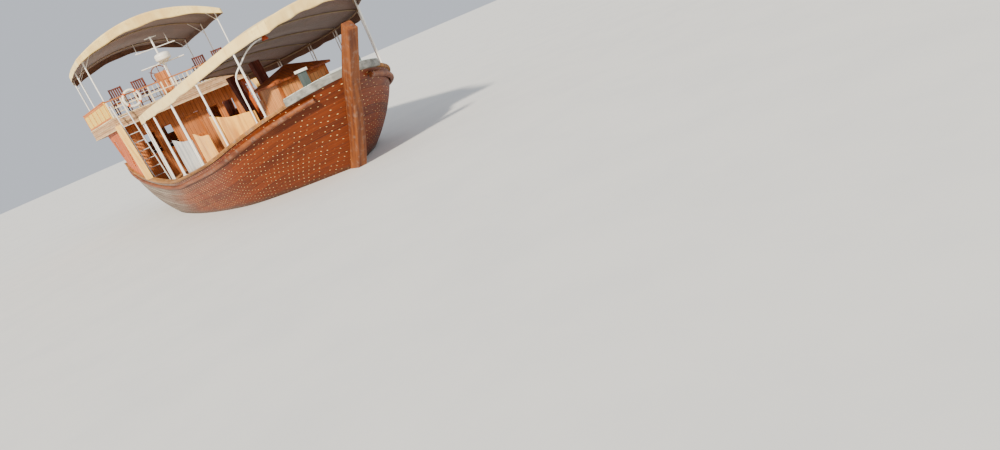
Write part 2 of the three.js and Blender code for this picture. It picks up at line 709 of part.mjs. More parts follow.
// A cloth flap that hangs from the arch at x, longer by sag in the middle.
function endFlap(x, edge, drop, sag = 0) {
  const rings = ARCH.map((u) => {
    const y = u * (edge.half + 1);
    const top = underside(edge, u) + 10;
    const hem = top - drop - sag * (1 - u * u);
    return [[x, y, hem], [x + CLOTH, y, hem], [x + CLOTH, y, top], [x, y, top]];
  });
  return loft(rings);
}

// The underside as the cloth's flat strips have it.
function stripZ(edge, across) {
  const strip = Math.min(Math.floor((across + 1) / ARCH_STEP), ARCH.length - 2);
  const t = (across - ARCH[strip]) / ARCH_STEP;
  return underside(edge, ARCH[strip]) * (1 - t) + underside(edge, ARCH[strip + 1]) * t;
}

// An arch of tube under the cloth at x, low enough to clear it by the seat.
function arch(x, half, radius, table, legs = []) {
  const edge = edgeAt(table, x);
  const step = 10;
  const steepest = (column) => Math.max(...[-step, step].map((d) => (
    Math.abs(edgeAt(table, x + d)[column] - edge[column]) / step
  )));
  const acrossSlope = (edge.rise * (1 - ARCH.at(-2) ** 2)) / (ARCH_STEP * edge.half);
  const alongSlope = steepest('z') + steepest('rise') + (2 * edge.rise * steepest('half')) / edge.half;
  const flat = Math.PI / 8;
  const drop = radius * (Math.cos(flat) * Math.hypot(1, acrossSlope) + Math.sin(flat) * alongSlope) + 2 * SEAT;
  const points = ARCH.map((u) => [x, u * half, stripZ(edge, u * (half / edge.half)) - drop]);
  const ends = legs.map((z) => [STARBOARD, PORT].map((side) => [x, side * half, z]));
  return tube([...ends.map((pair) => pair[0]), ...points, ...ends.map((pair) => pair[1])], radius, ATHWART);
}

// Where an awning post stands: on the cap rail, or on the deck where the awning is narrower.
function postRun(x, side) {
  const edge = edgeAt(AWNING_EDGE, x);
  const half = edge.half - PIPE - 8;
  const onDeck = half < beamAt(x) - 130 - PIPE;
  const footY = onDeck ? half : Math.min(half, beamAt(x) - 25);
  const footZ = onDeck ? deckZAt(x) - 40 : railZAt(x);
  const topZ = underside(edge, (half + PIPE) / edge.half) - 4;
  return { foot: [x, side * footY, footZ], top: [x, side * half, topZ] };
}

function portal(x) {
  const edge = edgeAt(AWNING_EDGE, x);
  const half = edge.half - PIPE - 8;
  const posts = [STARBOARD, PORT].map((side) => {
    const { foot, top } = postRun(x, side);
    return rod(foot, top, PIPE, 8);
  });
  return cut(join([arch(x, half, ARCH_PIPE, AWNING_EDGE), ...posts]), [capZone, deckCut]);
}

function edgePipePoints(side) {
  return AWNING_EDGE.map((p) => {
    const post = p.half - PIPE - 8;
    const x = Math.min(Math.max(p.x, AWNING_EDGE[0].x + 120), AWNING_EDGE.at(-1).x - FRONT_INSET);
    return [x, side * (post - PIPE - EDGE_PIPE + 5), p.z - PIPE_DROP];
  });
}

function edgePipe(side) {
  const posts = PORTAL_X.map((x) => {
    const { foot, top } = postRun(x, side);
    return rod(foot, top, PIPE + SEAT * 1.2, 8);
  });
  return cut(tube(edgePipePoints(side), EDGE_PIPE, LENGTHWISE), posts);
}

// The fore bow stands on short legs that are notched over the ends of the edge pipes.
const NOTCH = 8;

function frontBow() {
  const [x, pipeY, pipeZ] = edgePipePoints(PORT).at(-1);
  const half = pipeY + (EDGE_PIPE + ARCH_PIPE) * Math.cos(Math.PI / 8) - NOTCH;
  const grown = [STARBOARD, PORT].map((side) => tube(edgePipePoints(side), EDGE_PIPE + SEAT, LENGTHWISE));
  return cut(arch(x, half, ARCH_PIPE, AWNING_EDGE, [pipeZ - 2 * EDGE_PIPE]), grown);
}

// King posts

const KING_POSTS = [
  { name: 'king_post_aft', footX: 1950, topX: 1150, topZ: 3560 },
  { name: 'king_post_fore', footX: 4090, topX: 3560, topZ: 3650 },
];

function kingPost({ footX, topX, topZ }) {
  const foot = [footX, 0, deckZAt(footX) - 80];
  return timber(foot, [topX, 0, topZ], 260, 280).subtract(deckCut);
}

// Canvas screens standing on the rail between the posts

const SCREENS = [
  { name: 'screen_tan_fore', aft: 5650, fore: 7150, top: 2720, finish: 'canvas' },
  { name: 'screen_tan_aft', aft: 3950, fore: 5150, top: 2450, finish: 'canvas' },
  { name: 'screen_grey', aft: 1750, fore: 3650, top: 2480, finish: 'canvasGrey' },
];
const SCREEN_INSET = 95;
const SCREEN_THICK = 24;

function screen({ aft, fore, top }) {
  const count = 6;
  const rings = Array.from({ length: count + 1 }, (_, i) => {
    const x = aft + ((fore - aft) * i) / count;
    const outer = planY(x, -SCREEN_INSET);
    const inner = planY(x, -SCREEN_INSET - SCREEN_THICK);
    const low = railZAt(x) + CAP_THICK + 2 * SEAT;
    return [[x, -outer, low], [x, -outer, top], [x, -inner, top], [x, -inner, low]];
  });
  return loft(rings);
}

// Upper deck aft with its panels, rails and awning

const UPPER = { aft: -9300, fore: -4500, half: 2700, low: 3480, floorLow: 3730, floor: 3930, fascia: 60 };
const PANEL_TOP = 4550;

function upperDeck() {
  const { aft, fore, half, low, floorLow, floor, fascia } = UPPER;
  const slab = block([aft, -half, floorLow], [fore, half, floor]);
  const skirt = block([aft, -half, low], [fore, half, floor]);
  const under = block([aft + fascia, -half + fascia, low - 10], [fore - fascia, half - fascia, floorLow]);
  return skirt.subtract(under).add(slab);
}

function upperPanel(side) {
  const near = UPPER.half - 10;
  const far = UPPER.half - 50;
  const ys = [side * near, side * far].sort((a, b) => a - b);
  return block([UPPER.aft + 60, ys[0], UPPER.floor + SEAT], [UPPER.fore - 60, ys[1], PANEL_TOP]);
}

// A railing athwart the upper deck: a top rail and a middle rail on square stanchions.
function railing(x) {
  const half = UPPER.half - 60;
  const size = 25;
  const bar = (z, height) => block([x - size, -half, z - height], [x + size, half, z]);
  const count = 10;
  const stanchions = Array.from({ length: count + 1 }, (_, i) => {
    const y = -half + size + ((2 * half - 2 * size) * i) / count;
    return block([x - size + 4, y - size, UPPER.floor + SEAT], [x + size - 4, y + size, PANEL_TOP - 10]);
  });
  return join([bar(PANEL_TOP, 45), bar(4240, 35), ...stanchions]);
}

const UPPER_VALANCE = 200;
const FORE_SAG = 180;
const UPPER_EDGE = [
  { x: -9400, half: 2350, z: 5950, rise: 500 },
  { x: -8900, half: 2454, z: 5990, rise: 510 },
  { x: -8200, half: 2600, z: 6050, rise: 520 },
  { x: -6700, half: 2740, z: 6120, rise: 600 },
  { x: -4640, half: 2795, z: 6190, rise: 712 },
  { x: -4350, half: 2800, z: 6200, rise: 730 },
];
const UPPER_PORTAL_X = [-8900, -6700, -4640];

function upperPortal(x) {
  const edge = edgeAt(UPPER_EDGE, x);
  const half = Math.min(edge.half - PIPE - 6, UPPER.half - 60 - PIPE);
  const posts = [STARBOARD, PORT].map((side) => {
    const topZ = underside(edge, (half + PIPE) / edge.half) - 8;
    return rod([x, side * half, UPPER.floor + SEAT], [x, side * half, topZ], PIPE - 3, 8);
  });
  return join([arch(x, half, ARCH_PIPE, UPPER_EDGE), ...posts]);
}

// Corner posts that prop the upper deck from the hull's side

const CORNER_POST = { footX: -3050, footHalf: 2830, topX: -4360, topHalf: 2665, wide: 180, deep: 290 };

// It stands on the cap rail, leans aft and laps over the front of the upper deck's fascia.
function cornerPost(side) {
  const { footX, footHalf, topX, topHalf, wide, deep } = CORNER_POST;
  const foot = [footX, side * footHalf, railZAt(footX) - 150];
  const top = [topX, side * topHalf, UPPER.low + 130];
  const body = timber(foot, top, wide, deep);
  const under = block([-5500, -4000, UPPER.low - SEAT], [UPPER.fore + SEAT, 4000, UPPER.low + 500]);
  return { body, under };
}

// Stern cabin under the upper deck

const CABIN = { aft: -7990, fore: -5300, wall: 60, topHalf: 2560 };
// The side walls run on past the cabin's front, to a fore edge that leans like the corner post.
const CABIN_SIDE = { footFore: -3980, topFore: -4640 };
const CABIN_WINDOWS = [
  { aft: -7200, wide: 420, low: 2500, high: 3150 },
  { aft: -5080, wide: 300, low: 2050, high: 3250 },
];

function cabinSide(side) {
  const count = 8;
  const rings = Array.from({ length: count + 1 }, (_, i) => {
    const x = CABIN.aft + ((CABIN_SIDE.footFore - CABIN.aft) * i) / count;
    const topX = CABIN.aft + ((CABIN_SIDE.topFore - CABIN.aft) * i) / count;
    const foot = beamAt(x) - 20;
    const top = CABIN.topHalf - (i === 0 ? 60 : 0);
    const low = railZAt(x) + CAP_THICK + SEAT;
    const high = UPPER.floorLow - SEAT;
    return [
      [x, side * foot, low], [topX, side * top, high],
      [topX, side * (top - CABIN.wall), high], [x, side * (foot - CABIN.wall), low],
    ];
  });
  const ys = [side * 2000, side * 2900].sort((a, b) => a - b);
  const windows = CABIN_WINDOWS.map(({ aft, wide, low, high }) => (
    block([aft, ys[0], low], [aft + wide, ys[1], high])
  ));
  return cut(loft(rings), windows);
}

const CABIN_DOOR = { half: 430, top: 3020, sill: 80 };
const cabinSill = deckZAt(CABIN.fore) + CABIN_DOOR.sill;
const cabinHinges = doorHinges(
  [cabinSill + 280, CABIN_DOOR.top - 280],
  [CABIN.fore + CABIN.wall + HINGE.standOff, CABIN_DOOR.half - DOOR_GAP / 2],
  -90,
);

const FRONT_WINDOWS = { starboardEdges: [-1900, -1200, 750, 1450], wide: 450, low: 2150, high: 2950 };
const AFT_WINDOWS = { starboardEdges: [-1700, -350, 1000], wide: 700, low: 2650, high: 3250 };

function cabinFront() {
  const half = 2400;
  const through = { aft: CABIN.fore - 50, fore: CABIN.fore + 150 };
  const body = block(
    [CABIN.fore, -half, deckZAt(CABIN.fore) - 150],
    [CABIN.fore + CABIN.wall, half, UPPER.floorLow - SEAT],
  );
  const doorway = block(
    [through.aft, -CABIN_DOOR.half, cabinSill],
    [through.fore, CABIN_DOOR.half, CABIN_DOOR.top],
  );
  const windows = FRONT_WINDOWS.starboardEdges.map((y) => (
    block([through.aft, y, FRONT_WINDOWS.low], [through.fore, y + FRONT_WINDOWS.wide, FRONT_WINDOWS.high])
  ));
  return join([cut(body, [doorway, deckCut, ...windows]), ...cabinHinges.map((h) => h.onWall)]);
}

function cabinDoor() {
  const { half, top } = CABIN_DOOR;
  const leaf = block(
    [CABIN.fore + 2 * DOOR_INSET, -half + DOOR_GAP, cabinSill + DOOR_GAP],
    [CABIN.fore + CABIN.wall - DOOR_INSET, half - DOOR_GAP, top - DOOR_GAP],
  );
  return join([leaf, ...cabinHinges.map((h) => h.onDoor)]);
}

function cabinAft() {
  const x = CABIN.aft;
  const half = 2200;
  const low = railZAt(x) + CAP_THICK + SEAT + 4;
  const body = block([x + 5, -half, low], [x + 5 + CABIN.wall, half, UPPER.floorLow - SEAT]);
  const windows = AFT_WINDOWS.starboardEdges.map((y) => (
    block([x - 50, y, AFT_WINDOWS.low], [x + 150, y + AFT_WINDOWS.wide, AFT_WINDOWS.high])
  ));
  return cut(body, windows);
}

// Ladder from the main deck to the upper deck

const LADDER = { y: -2330, half: 210, footX: -3480, topX: -4440, topZ: 4330, rungs: 9, rail: 24 };

function ladder() {
  const footZ = deckZAt(LADDER.footX) - 40;
  const stringers = [STARBOARD, PORT].map((side) => {
    const y = LADDER.y + side * LADDER.half;
    return rod([LADDER.footX, y, footZ], [LADDER.topX, y, LADDER.topZ], LADDER.rail, 8);
  });
  const rungs = Array.from({ length: LADDER.rungs }, (_, i) => {
    const t = (i + 1) / (LADDER.rungs + 1.5);
    const x = LADDER.footX + (LADDER.topX - LADDER.footX) * t;
    const z = footZ + (LADDER.topZ - footZ) * t;
    return rod([x, LADDER.y - LADDER.half, z], [x, LADDER.y + LADDER.half, z], 16, 6);
  });
  return join([...stringers, ...rungs]).subtract(deckCut);
}

// Bitts on the bow platform

function bitt(side) {
  const x = 8130;
  const y = side * 760;
  const low = railZAt(x) + BOW_PLATFORM.thick - 40;
  const post = block([x - 90, y - 90, low], [x + 90, y + 90, low + 470]);
  const cap = block([x - 130, y - 130, low + 450], [x + 130, y + 130, low + 520]);
  return post.add(cap);
}

// Lamp pole, mast, radome, helm and lifebuoy

function lampPole() {
  const [x, y] = [7150, -(beamAt(7150) - 30)];
  const pole = tube([
    [x, y, railZAt(x)], [x, y, 2950], [x + 20, y + 40, 3350], [7260, -1720, 3600],
    [7420, -1520, 3800], [7620, -1310, 3920], [7850, -1120, 3950],
  ], 20, [0.6, 0.8, 0]);
  const lamp = rod([7850, -1120, 3870], [7850, -1120, 3980], 85, 12);
  return pole.add(lamp).subtract(capZone);
}

const MAST = { x: -4900, top: 6150, radius: 45, crossZ: 5120, spreaderZ: 5720 };

function mast() {
  const { x } = MAST;
  const pole = rod([x, 0, UPPER.floor + SEAT], [x, 0, MAST.top], MAST.radius, 12);
  const cross = rod([x, -850, MAST.crossZ], [x, 850, MAST.crossZ], 25, 8);
  const spreader = rod([x, -780, MAST.spreaderZ], [x, 780, MAST.spreaderZ], 18, 8);
  const peak = rod([x, -230, MAST.top - 30], [x, 230, MAST.top - 30], 14, 8);
  const shelf = block([x - 60, -180, MAST.crossZ + 10], [x + 330, 180, MAST.crossZ + 50]);
  return join([pole, cross, spreader, peak, shelf]);
}

function radome() {
  const profile = [[0, 0], [240, 0], [290, 50], [290, 190], [230, 270], [0, 300]].map((p) => new THREE.Vector2(...p));
  const dome = new THREE.LatheGeometry(profile, 24);
  dome.rotateX(Math.PI / 2);
  const behindMast = MAST.x + MAST.radius + 292;
  dome.translate(behindMast, 0, MAST.crossZ + 50 + SEAT);
  return solid(dome);
}

const HELM = { x: -5750, top: 4900, wheelZ: 4830, wheelX: -5990, radius: 340, shaft: 19 };

function helmPedestal() {
  const box = block([HELM.x - 150, -260, UPPER.floor + SEAT], [HELM.x + 150, 260, HELM.top]);
  const bearing = rod([HELM.x - 175, 0, HELM.wheelZ], [HELM.x - 100, 0, HELM.wheelZ], 60, 16);
  const bore = rod([HELM.x - 200, 0, HELM.wheelZ], [HELM.x - 110, 0, HELM.wheelZ], HELM.shaft + RUNNING_GAP, 16);
  return box.add(bearing).subtract(bore);
}

function helmWheel() {
  const rim = new THREE.TorusGeometry(HELM.radius, 20, 6, 24).rotateY(Math.PI / 2)
    .translate(HELM.wheelX, 0, HELM.wheelZ);
  const hub = rod([HELM.wheelX - 40, 0, HELM.wheelZ], [HELM.wheelX + 40, 0, HELM.wheelZ], 55, 16);
  const shaft = rod([HELM.wheelX, 0, HELM.wheelZ], [HELM.x - 118, 0, HELM.wheelZ], HELM.shaft, 16);
  const spokes = Array.from({ length: 6 }, (_, i) => {
    const angle = (i * Math.PI) / 3;
    const reach = HELM.radius + 90;
    const tip = [HELM.wheelX, reach * Math.sin(angle), HELM.wheelZ + reach * Math.cos(angle)];
    return rod([HELM.wheelX, 0, HELM.wheelZ], tip, 15, 6);
  });
  return join([solid(rim), hub, shaft, ...spokes]);
}

const LIFEBUOY = { radius: 300, tube: 50, y: -1730, z: 4330 };

function lifebuoy() {
  const { radius, tube: thick, y, z } = LIFEBUOY;
  const ring = new THREE.TorusGeometry(radius, thick, 8, 24).rotateY(Math.PI / 2);
  return solid(ring.translate(UPPER.fore - 5 + thick + SEAT, y, z));
}

// Assembly

const stem = stemSolid();
const keel = join([keelSolid(), ...GUDGEON_Z.map(gudgeon)]);
const hullSkin = hullBody(2 * SEAT);
const capRail = capOuter.subtract(capInner);

add('hull', hull, 'planking');
add('transom_board', transomBoard, 'planking');
add('bulwark_starboard', bulwark(STARBOARD), 'planking');
add('bulwark_port', bulwark(PORT), 'planking');
add('stem_block', stemBlock, 'planking');
add('keel_and_sternpost', keel, 'timberDark');
add('stem_post', stem, 'timberLight');
add('main_deck', mainDeck, 'deckWood');
add('cap_rail', capRail, 'timberLight');
const postCut = loft([KEEL_BOTTOM, POST_TOP + 300].map((z) => [
  postPoint(z, -SEAT, -KEEL_SIDE - SEAT), postPoint(z, POST_DEPTH + SEAT, -KEEL_SIDE - SEAT),
  postPoint(z, POST_DEPTH + SEAT, KEEL_SIDE + SEAT), postPoint(z, -SEAT, KEEL_SIDE + SEAT),
]));
const rubbing = cut(rubOuter, [hullSkin, postCut, stemSolid(SEAT)]);
add('rub_strake', rubbing, 'timberLight');
const platformSlab = railSlab(
  BOW_PLATFORM.aftX, BOW_PLATFORM.foreX, BOW_PLATFORM.outset, SEAT, BOW_PLATFORM.thick,
);
add('bow_platform', platformSlab.subtract(stemSolid(SEAT)), 'greyPaint');
const platformCut = railSlab(BOW_PLATFORM.aftX, BOW_PLATFORM.foreX, BOW_PLATFORM.outset, -100, BOW_PLATFORM.thick + SEAT);
add('bitt_starboard', bitt(STARBOARD).subtract(platformCut), 'whitePaint');
add('bitt_port', bitt(PORT).subtract(platformCut), 'whitePaint');
add('rudder', rudderSolid(), 'timberDark');
add('propeller', propellerSolid(), 'bronze');
add('companion_walls', houseWalls(), 'timberLight');
add('companion_roof', houseRoof(), 'timberDark');
add('companion_door', houseDoor(), 'timberLight');
add('deck_locker', locker(), 'timberLight');
add('hatch_coaming', hatchCoaming(), 'timberLight');
add('hatch_lid', hatchLid(), 'timberLight');
for (const post of KING_POSTS) add(post.name, kingPost(post), 'timberDark');
PORTAL_X.forEach((x, i) => add(`awning_portal_${i + 1}`, portal(x), 'whitePaint'));
add('awning_front_bow', frontBow(), 'whitePaint');
add('awning_edge_starboard', edgePipe(STARBOARD), 'whitePaint');
add('awning_edge_port', edgePipe(PORT), 'whitePaint');
const foreEdge = AWNING_EDGE.at(-1);
const foreFlap = endFlap(foreEdge.x - 2, foreEdge, VALANCE);
add('lower_awning', clothSolid(AWNING_EDGE, VALANCE).add(foreFlap), 'canvas');
add('lamp_pole', lampPole(), 'whitePaint');
for (const panel of SCREENS) add(panel.name, screen(panel), panel.finish);
add('upper_deck', upperDeck(), 'timberLight');
for (const [name, side] of [['corner_post_starboard', STARBOARD], ['corner_post_port', PORT]]) {
  const { body, under } = cornerPost(side);
  const below = railSlab(-6000, -1000, 600, -900, CAP_THICK + SEAT);
  add(name, cut(body, [under, below]), 'yellowPaint');
}
add('cabin_side_starboard', cabinSide(STARBOARD), 'timberLight');
add('cabin_side_port', cabinSide(PORT), 'timberLight');
add('cabin_front', cabinFront(), 'timberDark');
add('cabin_door', cabinDoor(), 'timberDark');
add('cabin_aft', cabinAft(), 'timberLight');
add('ladder', ladder(), 'steel');
add('panel_starboard', upperPanel(STARBOARD), 'yellowPaint');
add('panel_port', upperPanel(PORT), 'yellowPaint');
add('upper_rail_front', railing(UPPER.fore - 30), 'yellowPaint');
add('upper_rail_aft', railing(UPPER.aft + 30), 'yellowPaint');
UPPER_PORTAL_X.forEach((x, i) => add(`upper_portal_${i + 1}`, upperPortal(x), 'whitePaint'));
const [upperAft, upperFore] = [UPPER_EDGE[0], UPPER_EDGE.at(-1)];
add('upper_awning', join([
  clothSolid(UPPER_EDGE, UPPER_VALANCE),
  endFlap(upperAft.x, upperAft, UPPER_VALANCE + 20),
  endFlap(upperFore.x - 2, upperFore, UPPER_VALANCE, FORE_SAG),
]), 'canvas');
add('antenna_mast', mast(), 'whitePaint');
add('radome', radome(), 'whitePaint');
add('helm_pedestal', helmPedestal(), 'timberDark');
add('helm_wheel', helmWheel(), 'timberLight');
add('lifebuoy', lifebuoy(), 'buoyOrange');

export default boat;
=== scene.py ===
"""Dresses the wooden motor dhow: planking, awnings, deck gear and finishes, in metres."""

from __future__ import annotations

import logging
from dataclasses import dataclass, field
from enum import Enum
from math import copysign, cos, pi, radians, sin
from typing import Any, Callable, Sequence

import bpy
import numpy as np
from mathutils import Matrix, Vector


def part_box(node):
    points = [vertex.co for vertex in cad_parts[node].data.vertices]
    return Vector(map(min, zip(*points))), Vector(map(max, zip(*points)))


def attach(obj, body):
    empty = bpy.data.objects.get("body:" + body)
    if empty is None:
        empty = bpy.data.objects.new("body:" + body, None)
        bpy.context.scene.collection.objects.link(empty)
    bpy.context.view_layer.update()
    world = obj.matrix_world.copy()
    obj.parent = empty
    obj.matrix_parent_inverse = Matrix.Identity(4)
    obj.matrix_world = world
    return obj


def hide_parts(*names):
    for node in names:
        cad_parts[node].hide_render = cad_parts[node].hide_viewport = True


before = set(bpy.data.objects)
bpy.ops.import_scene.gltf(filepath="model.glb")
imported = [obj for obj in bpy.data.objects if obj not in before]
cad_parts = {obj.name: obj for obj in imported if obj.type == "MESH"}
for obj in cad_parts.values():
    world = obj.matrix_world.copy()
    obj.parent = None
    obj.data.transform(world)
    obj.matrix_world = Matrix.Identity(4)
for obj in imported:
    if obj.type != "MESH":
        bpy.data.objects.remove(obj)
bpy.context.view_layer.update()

log = logging.getLogger("dhow")
Array = np.ndarray
Point = Sequence[float]
Pair = tuple[float, float]
Table = tuple[tuple[float, ...], ...]
LIFT = 0.0005  # a board's distance from the face that it lies on
CAP_TOP = 0.086  # top of the cap rail over the hull's top edge
FLOOR = 3.93  # top of the upper deck
ALONG, ATHWART, UPRIGHT = (1, 0, 0), (0, 1, 0), (0, 0, 1)


class Axis(Enum):
    """An axis of the boat."""

    X = 0
    Y = 1
    Z = 2


class Side(Enum):
    """A side of the boat, as the sign of its Y."""

    STARBOARD = -1
    PORT = 1

    @property
    def label(self) -> str:
        """The side's name as pieces have it."""
        return self.name.lower()


# Shaders


def linear(code: str) -> tuple[float, float, float, float]:
    """The linear colour of a hexadecimal screen colour.

    Args:
        code: six hexadecimal digits, red, green and blue.

    Returns:
        Red, green, blue and an alpha of 1.
    """
    parts = [int(code[i : i + 2], 16) / 255 for i in (0, 2, 4)]
    steps = [c / 12.92 if c <= 0.04045 else ((c + 0.055) / 1.055) ** 2.4 for c in parts]
    return (steps[0], steps[1], steps[2], 1.0)


def operator(operation: str, swapped: bool = False) -> Callable[..., Value]:
    """A method of Value that puts it and its arguments into a Math node.

    Args:
        operation: the node's operation.
        swapped: whether the value comes last.

    Returns:
        The method.
    """

    def method(value: Value, *others: Value | float) -> Value:
        """The Math node's result."""
        inputs = dict(enumerate((*others, value) if swapped else (value, *others)))
        return value.shader.out("ShaderNodeMath", 0, {"operation": operation}, inputs)

    return method


@dataclass(frozen=True)
class Value:
    """A number or vector that a node gives, with arithmetic on numbers."""

    shader: Shader
    socket: bpy.types.NodeSocket

    __add__ = __radd__ = operator("ADD")
    __mul__ = __rmul__ = operator("MULTIPLY")
    __sub__, __rsub__ = operator("SUBTRACT"), operator("SUBTRACT", swapped=True)
    __truediv__ = operator("DIVIDE")
    fract, floor = operator("FRACT"), operator("FLOOR")
    size, root, sine = operator("ABSOLUTE"), operator("SQRT"), operator("SINE")
    least, most = operator("MINIMUM"), operator("MAXIMUM")

    def ease(self, low: float, high: float) -> Value:
        """Rises smoothly from low to high, or falls if low is the greater.

        Args:
            low: where it is 0.
            high: where it is 1.

        Returns:
            A number from 0 to 1.
        """
        if low > high:
            return 1.0 - self.ease(high, low)
        settings = {"interpolation_type": "SMOOTHSTEP"}
        inputs = {"Value": self, "From Min": low, "From Max": high}
        return self.shader.out("ShaderNodeMapRange", 0, settings, inputs)


class Shader:
    """A material's node tree, written as expressions."""

    def __init__(self, name: str) -> None:
        """Starts a material with one Principled shader.

        Args:
            name: the material's name.
        """
        self.material = bpy.data.materials.new(name)
        self.material.use_nodes = True
        self.tree = self.material.node_tree
        self.principled = self.tree.nodes["Principled BSDF"]

    def node(self, kind: str, settings: dict[str, Any], inputs: dict[Any, Any]) -> bpy.types.Node:
        """Adds a node.

        Args:
            kind: the node's type.
            settings: what is set on the node first.
            inputs: values or links, by a socket's identifier, name or number.

        Returns:
            The node.
        """
        made = self.tree.nodes.new(kind)
        for name, value in settings.items():
            setattr(made, name, value)
        for name, value in inputs.items():
            known = (socket for socket in made.inputs if socket.identifier == name)
            self.feed(next(known, None) or made.inputs[name], value)
        return made

    def feed(self, socket: bpy.types.NodeSocket, value: Any) -> None:
        """Links a value to a socket, or sets it.

        Args:
            socket: the socket.
            value: the value, or a number or colour.
        """
        if isinstance(value, Value):
            self.tree.links.new(value.socket, socket)
        else:
            socket.default_value = value

    def out(
        self, kind: str, output: int | str, settings: dict[str, Any], inputs: dict[Any, Any]
    ) -> Value:
        """Adds a node and returns one of its outputs."""
        return Value(self, self.node(kind, settings, inputs).outputs[output])

    def place(self) -> Value:
        """The object's own coordinates."""
        return self.out("ShaderNodeTexCoord", "Object", {}, {})

    def parts(self, vector: Value) -> list[Value]:
        """The three numbers of a vector."""
        node = self.node("ShaderNodeSeparateXYZ", {}, {0: vector})
        return [Value(self, output) for output in node.outputs]

    def attribute(self, name: str) -> Value:
        """A number stored on the mesh."""
        return self.out("ShaderNodeAttribute", "Fac", {"attribute_name": name}, {})

    def uv(self) -> list[Value]:
        """The mesh's own U and V."""
        return self.parts(self.out("ShaderNodeUVMap", 0, {}, {}))[:2]

    def vector(self, x: Value | float, y: Value | float, z: Value | float) -> Value:
        """A vector of three numbers."""
        return self.out("ShaderNodeCombineXYZ", 0, {}, {0: x, 1: y, 2: z})

    def shift(self, vector: Value, by: Value) -> Value:
        """The sum of two vectors."""
        return self.out("ShaderNodeVectorMath", 0, {"operation": "ADD"}, {0: vector, 1: by})

    def noise(self, vector: Value, scale: float, detail: float = 3.0, rough: float = 0.55) -> Value:
        """Cloudy noise between about 0.2 and 0.8."""
        inputs = {"Vector": vector, "Scale": scale, "Detail": detail, "Roughness": rough}
        return self.out("ShaderNodeTexNoise", 0, {}, inputs)

    def drawn(self, vector: Value, by: Point, detail: float = 4.0, rough: float = 0.6) -> Value:
        """Noise on a vector multiplied number by number, so drawn out where the number is low."""
        long = self.out("ShaderNodeVectorMath", 0, {"operation": "MULTIPLY"}, {0: vector, 1: by})
        return self.noise(long, 1.0, detail, rough)

    def chance(self, value: Value) -> Value:
        """A random number for each whole number."""
        settings = {"noise_dimensions": "1D"}
        return self.out("ShaderNodeTexWhiteNoise", "Value", settings, {"W": value})

    def mix(self, factor: Value | float, a: Value | str, b: Value | str) -> Value:
        """A colour between two.

        Args:
            factor: how much there is of b.
            a: a colour or its hexadecimal code.
            b: likewise.

        Returns:
            The colour.
        """
        a, b = (linear(c) if isinstance(c, str) else c for c in (a, b))
        inputs = {"Factor_Float": factor, "A_Color": a, "B_Color": b}
        return self.out("ShaderNodeMix", 2, {"data_type": "RGBA"}, inputs)

    def finish(
        self, colour: Value, rough: Value | float, height: Value, depth: float,
        coat: float = 0.0, metal: float = 0.0, sheen: float = 0.0, gloss: float = 0.35,
    ) -> bpy.types.Material:
        """Feeds the shader.

        Args:
            colour: the base colour.
            rough: the roughness.
            height: heights in units of depth, for the bump.
            depth: the bump's height in metres.
            coat: weight of a clear coat.
            metal: how metallic it is.
            sheen: weight of a cloth's sheen.
            gloss: level of the mirror reflections, 0.5 for metal.

        Returns:
            The material.
        """
        sockets = self.principled.inputs
        bump = self.out(
            "ShaderNodeBump", 0, {}, {"Strength": 1.0, "Distance": depth, "Height": height}
        )
        values = {
            "Base Color": colour, "Roughness": rough, "Normal": bump, "Metallic": metal,
            "Coat Weight": coat, "Coat Roughness": 0.25, "Sheen Weight": sheen,
            "Specular IOR Level": 0.5 if metal else gloss,
        }
        for name, value in values.items():
            self.feed(sockets[name], value)
        return self.material


# Finishes

WEATHERED = "a49a8c"
WEATHERED_BOARD = "a2978a"
CRACK = "2a1a12"
BOARD_GAP = "21150f"
IRON_HEAD = "5b5048"
BARE_WOOD = "7a5236"
DULL_SKIN = "4c4c4a"

_made: dict[str, bpy.types.Material] = {}


def scales(run: Axis, along: float, across: float) -> tuple[float, ...]:
    """The scales of a noise that is drawn out along an axis."""
    return tuple(along if axis is run else across for axis in Axis)


@dataclass(frozen=True)
class Finish:
    """A surface finish, whose material is built the first time that it is asked for."""

    name: str

    def material(self) -> bpy.types.Material:
        """The finished material."""
        return _made.get(self.name) or _made.setdefault(self.name, self._build())

    def _build(self) -> bpy.types.Material:
        """Builds the material. Each kind of finish has its own way."""
        raise NotImplementedError


@dataclass(frozen=True)
class Timber(Finish):
    """Solid wood with its grain along one axis."""

    light: str
    dark: str
    run: Axis = Axis.X
    grey: float = 0.25
    gloss: float = 0.5
    coat: float = 0.0
    lean: float = 0.0  # degrees that an upright member leans forward

    def _build(self) -> bpy.types.Material:
        """Grain is noise drawn out along the run, checks are its darkest threads.

        Returns:
            The material.
        """
        shader = Shader(self.name)
        x, y, z = shader.parts(shader.place())
        c, s = cos(radians(self.lean)), sin(radians(self.lean))
        place = shader.vector(x * c - z * s, y, x * s + z * c)
        broad = shader.drawn(place, scales(self.run, 0.55, 9.0))
        threads = shader.drawn(place, scales(self.run, 2.2, 75.0), 3.0, 0.65)
        cloud = shader.noise(place, 1.7)
        wear = shader.noise(place, 6.5, 5.0, 0.65).ease(0.5, 0.72) * self.grey
        crack = threads.ease(0.33, 0.24)
        colour = shader.mix(broad.ease(0.32, 0.68), self.dark, self.light)
        colour = shader.mix(threads.ease(0.42, 0.3) * 0.6, colour, self.dark)
        colour = shader.mix(cloud.ease(0.42, 0.7) * 0.25, colour, self.light)
        colour = shader.mix(wear, colour, WEATHERED)
        colour = shader.mix(crack * 0.5, colour, CRACK)
        rough = 1.0 - self.gloss + threads * 0.25 + wear * 0.3
        height = threads * 0.35 + broad * 0.5 - crack * 0.6
        return shader.finish(colour, rough, height, depth=0.004, coat=self.coat)


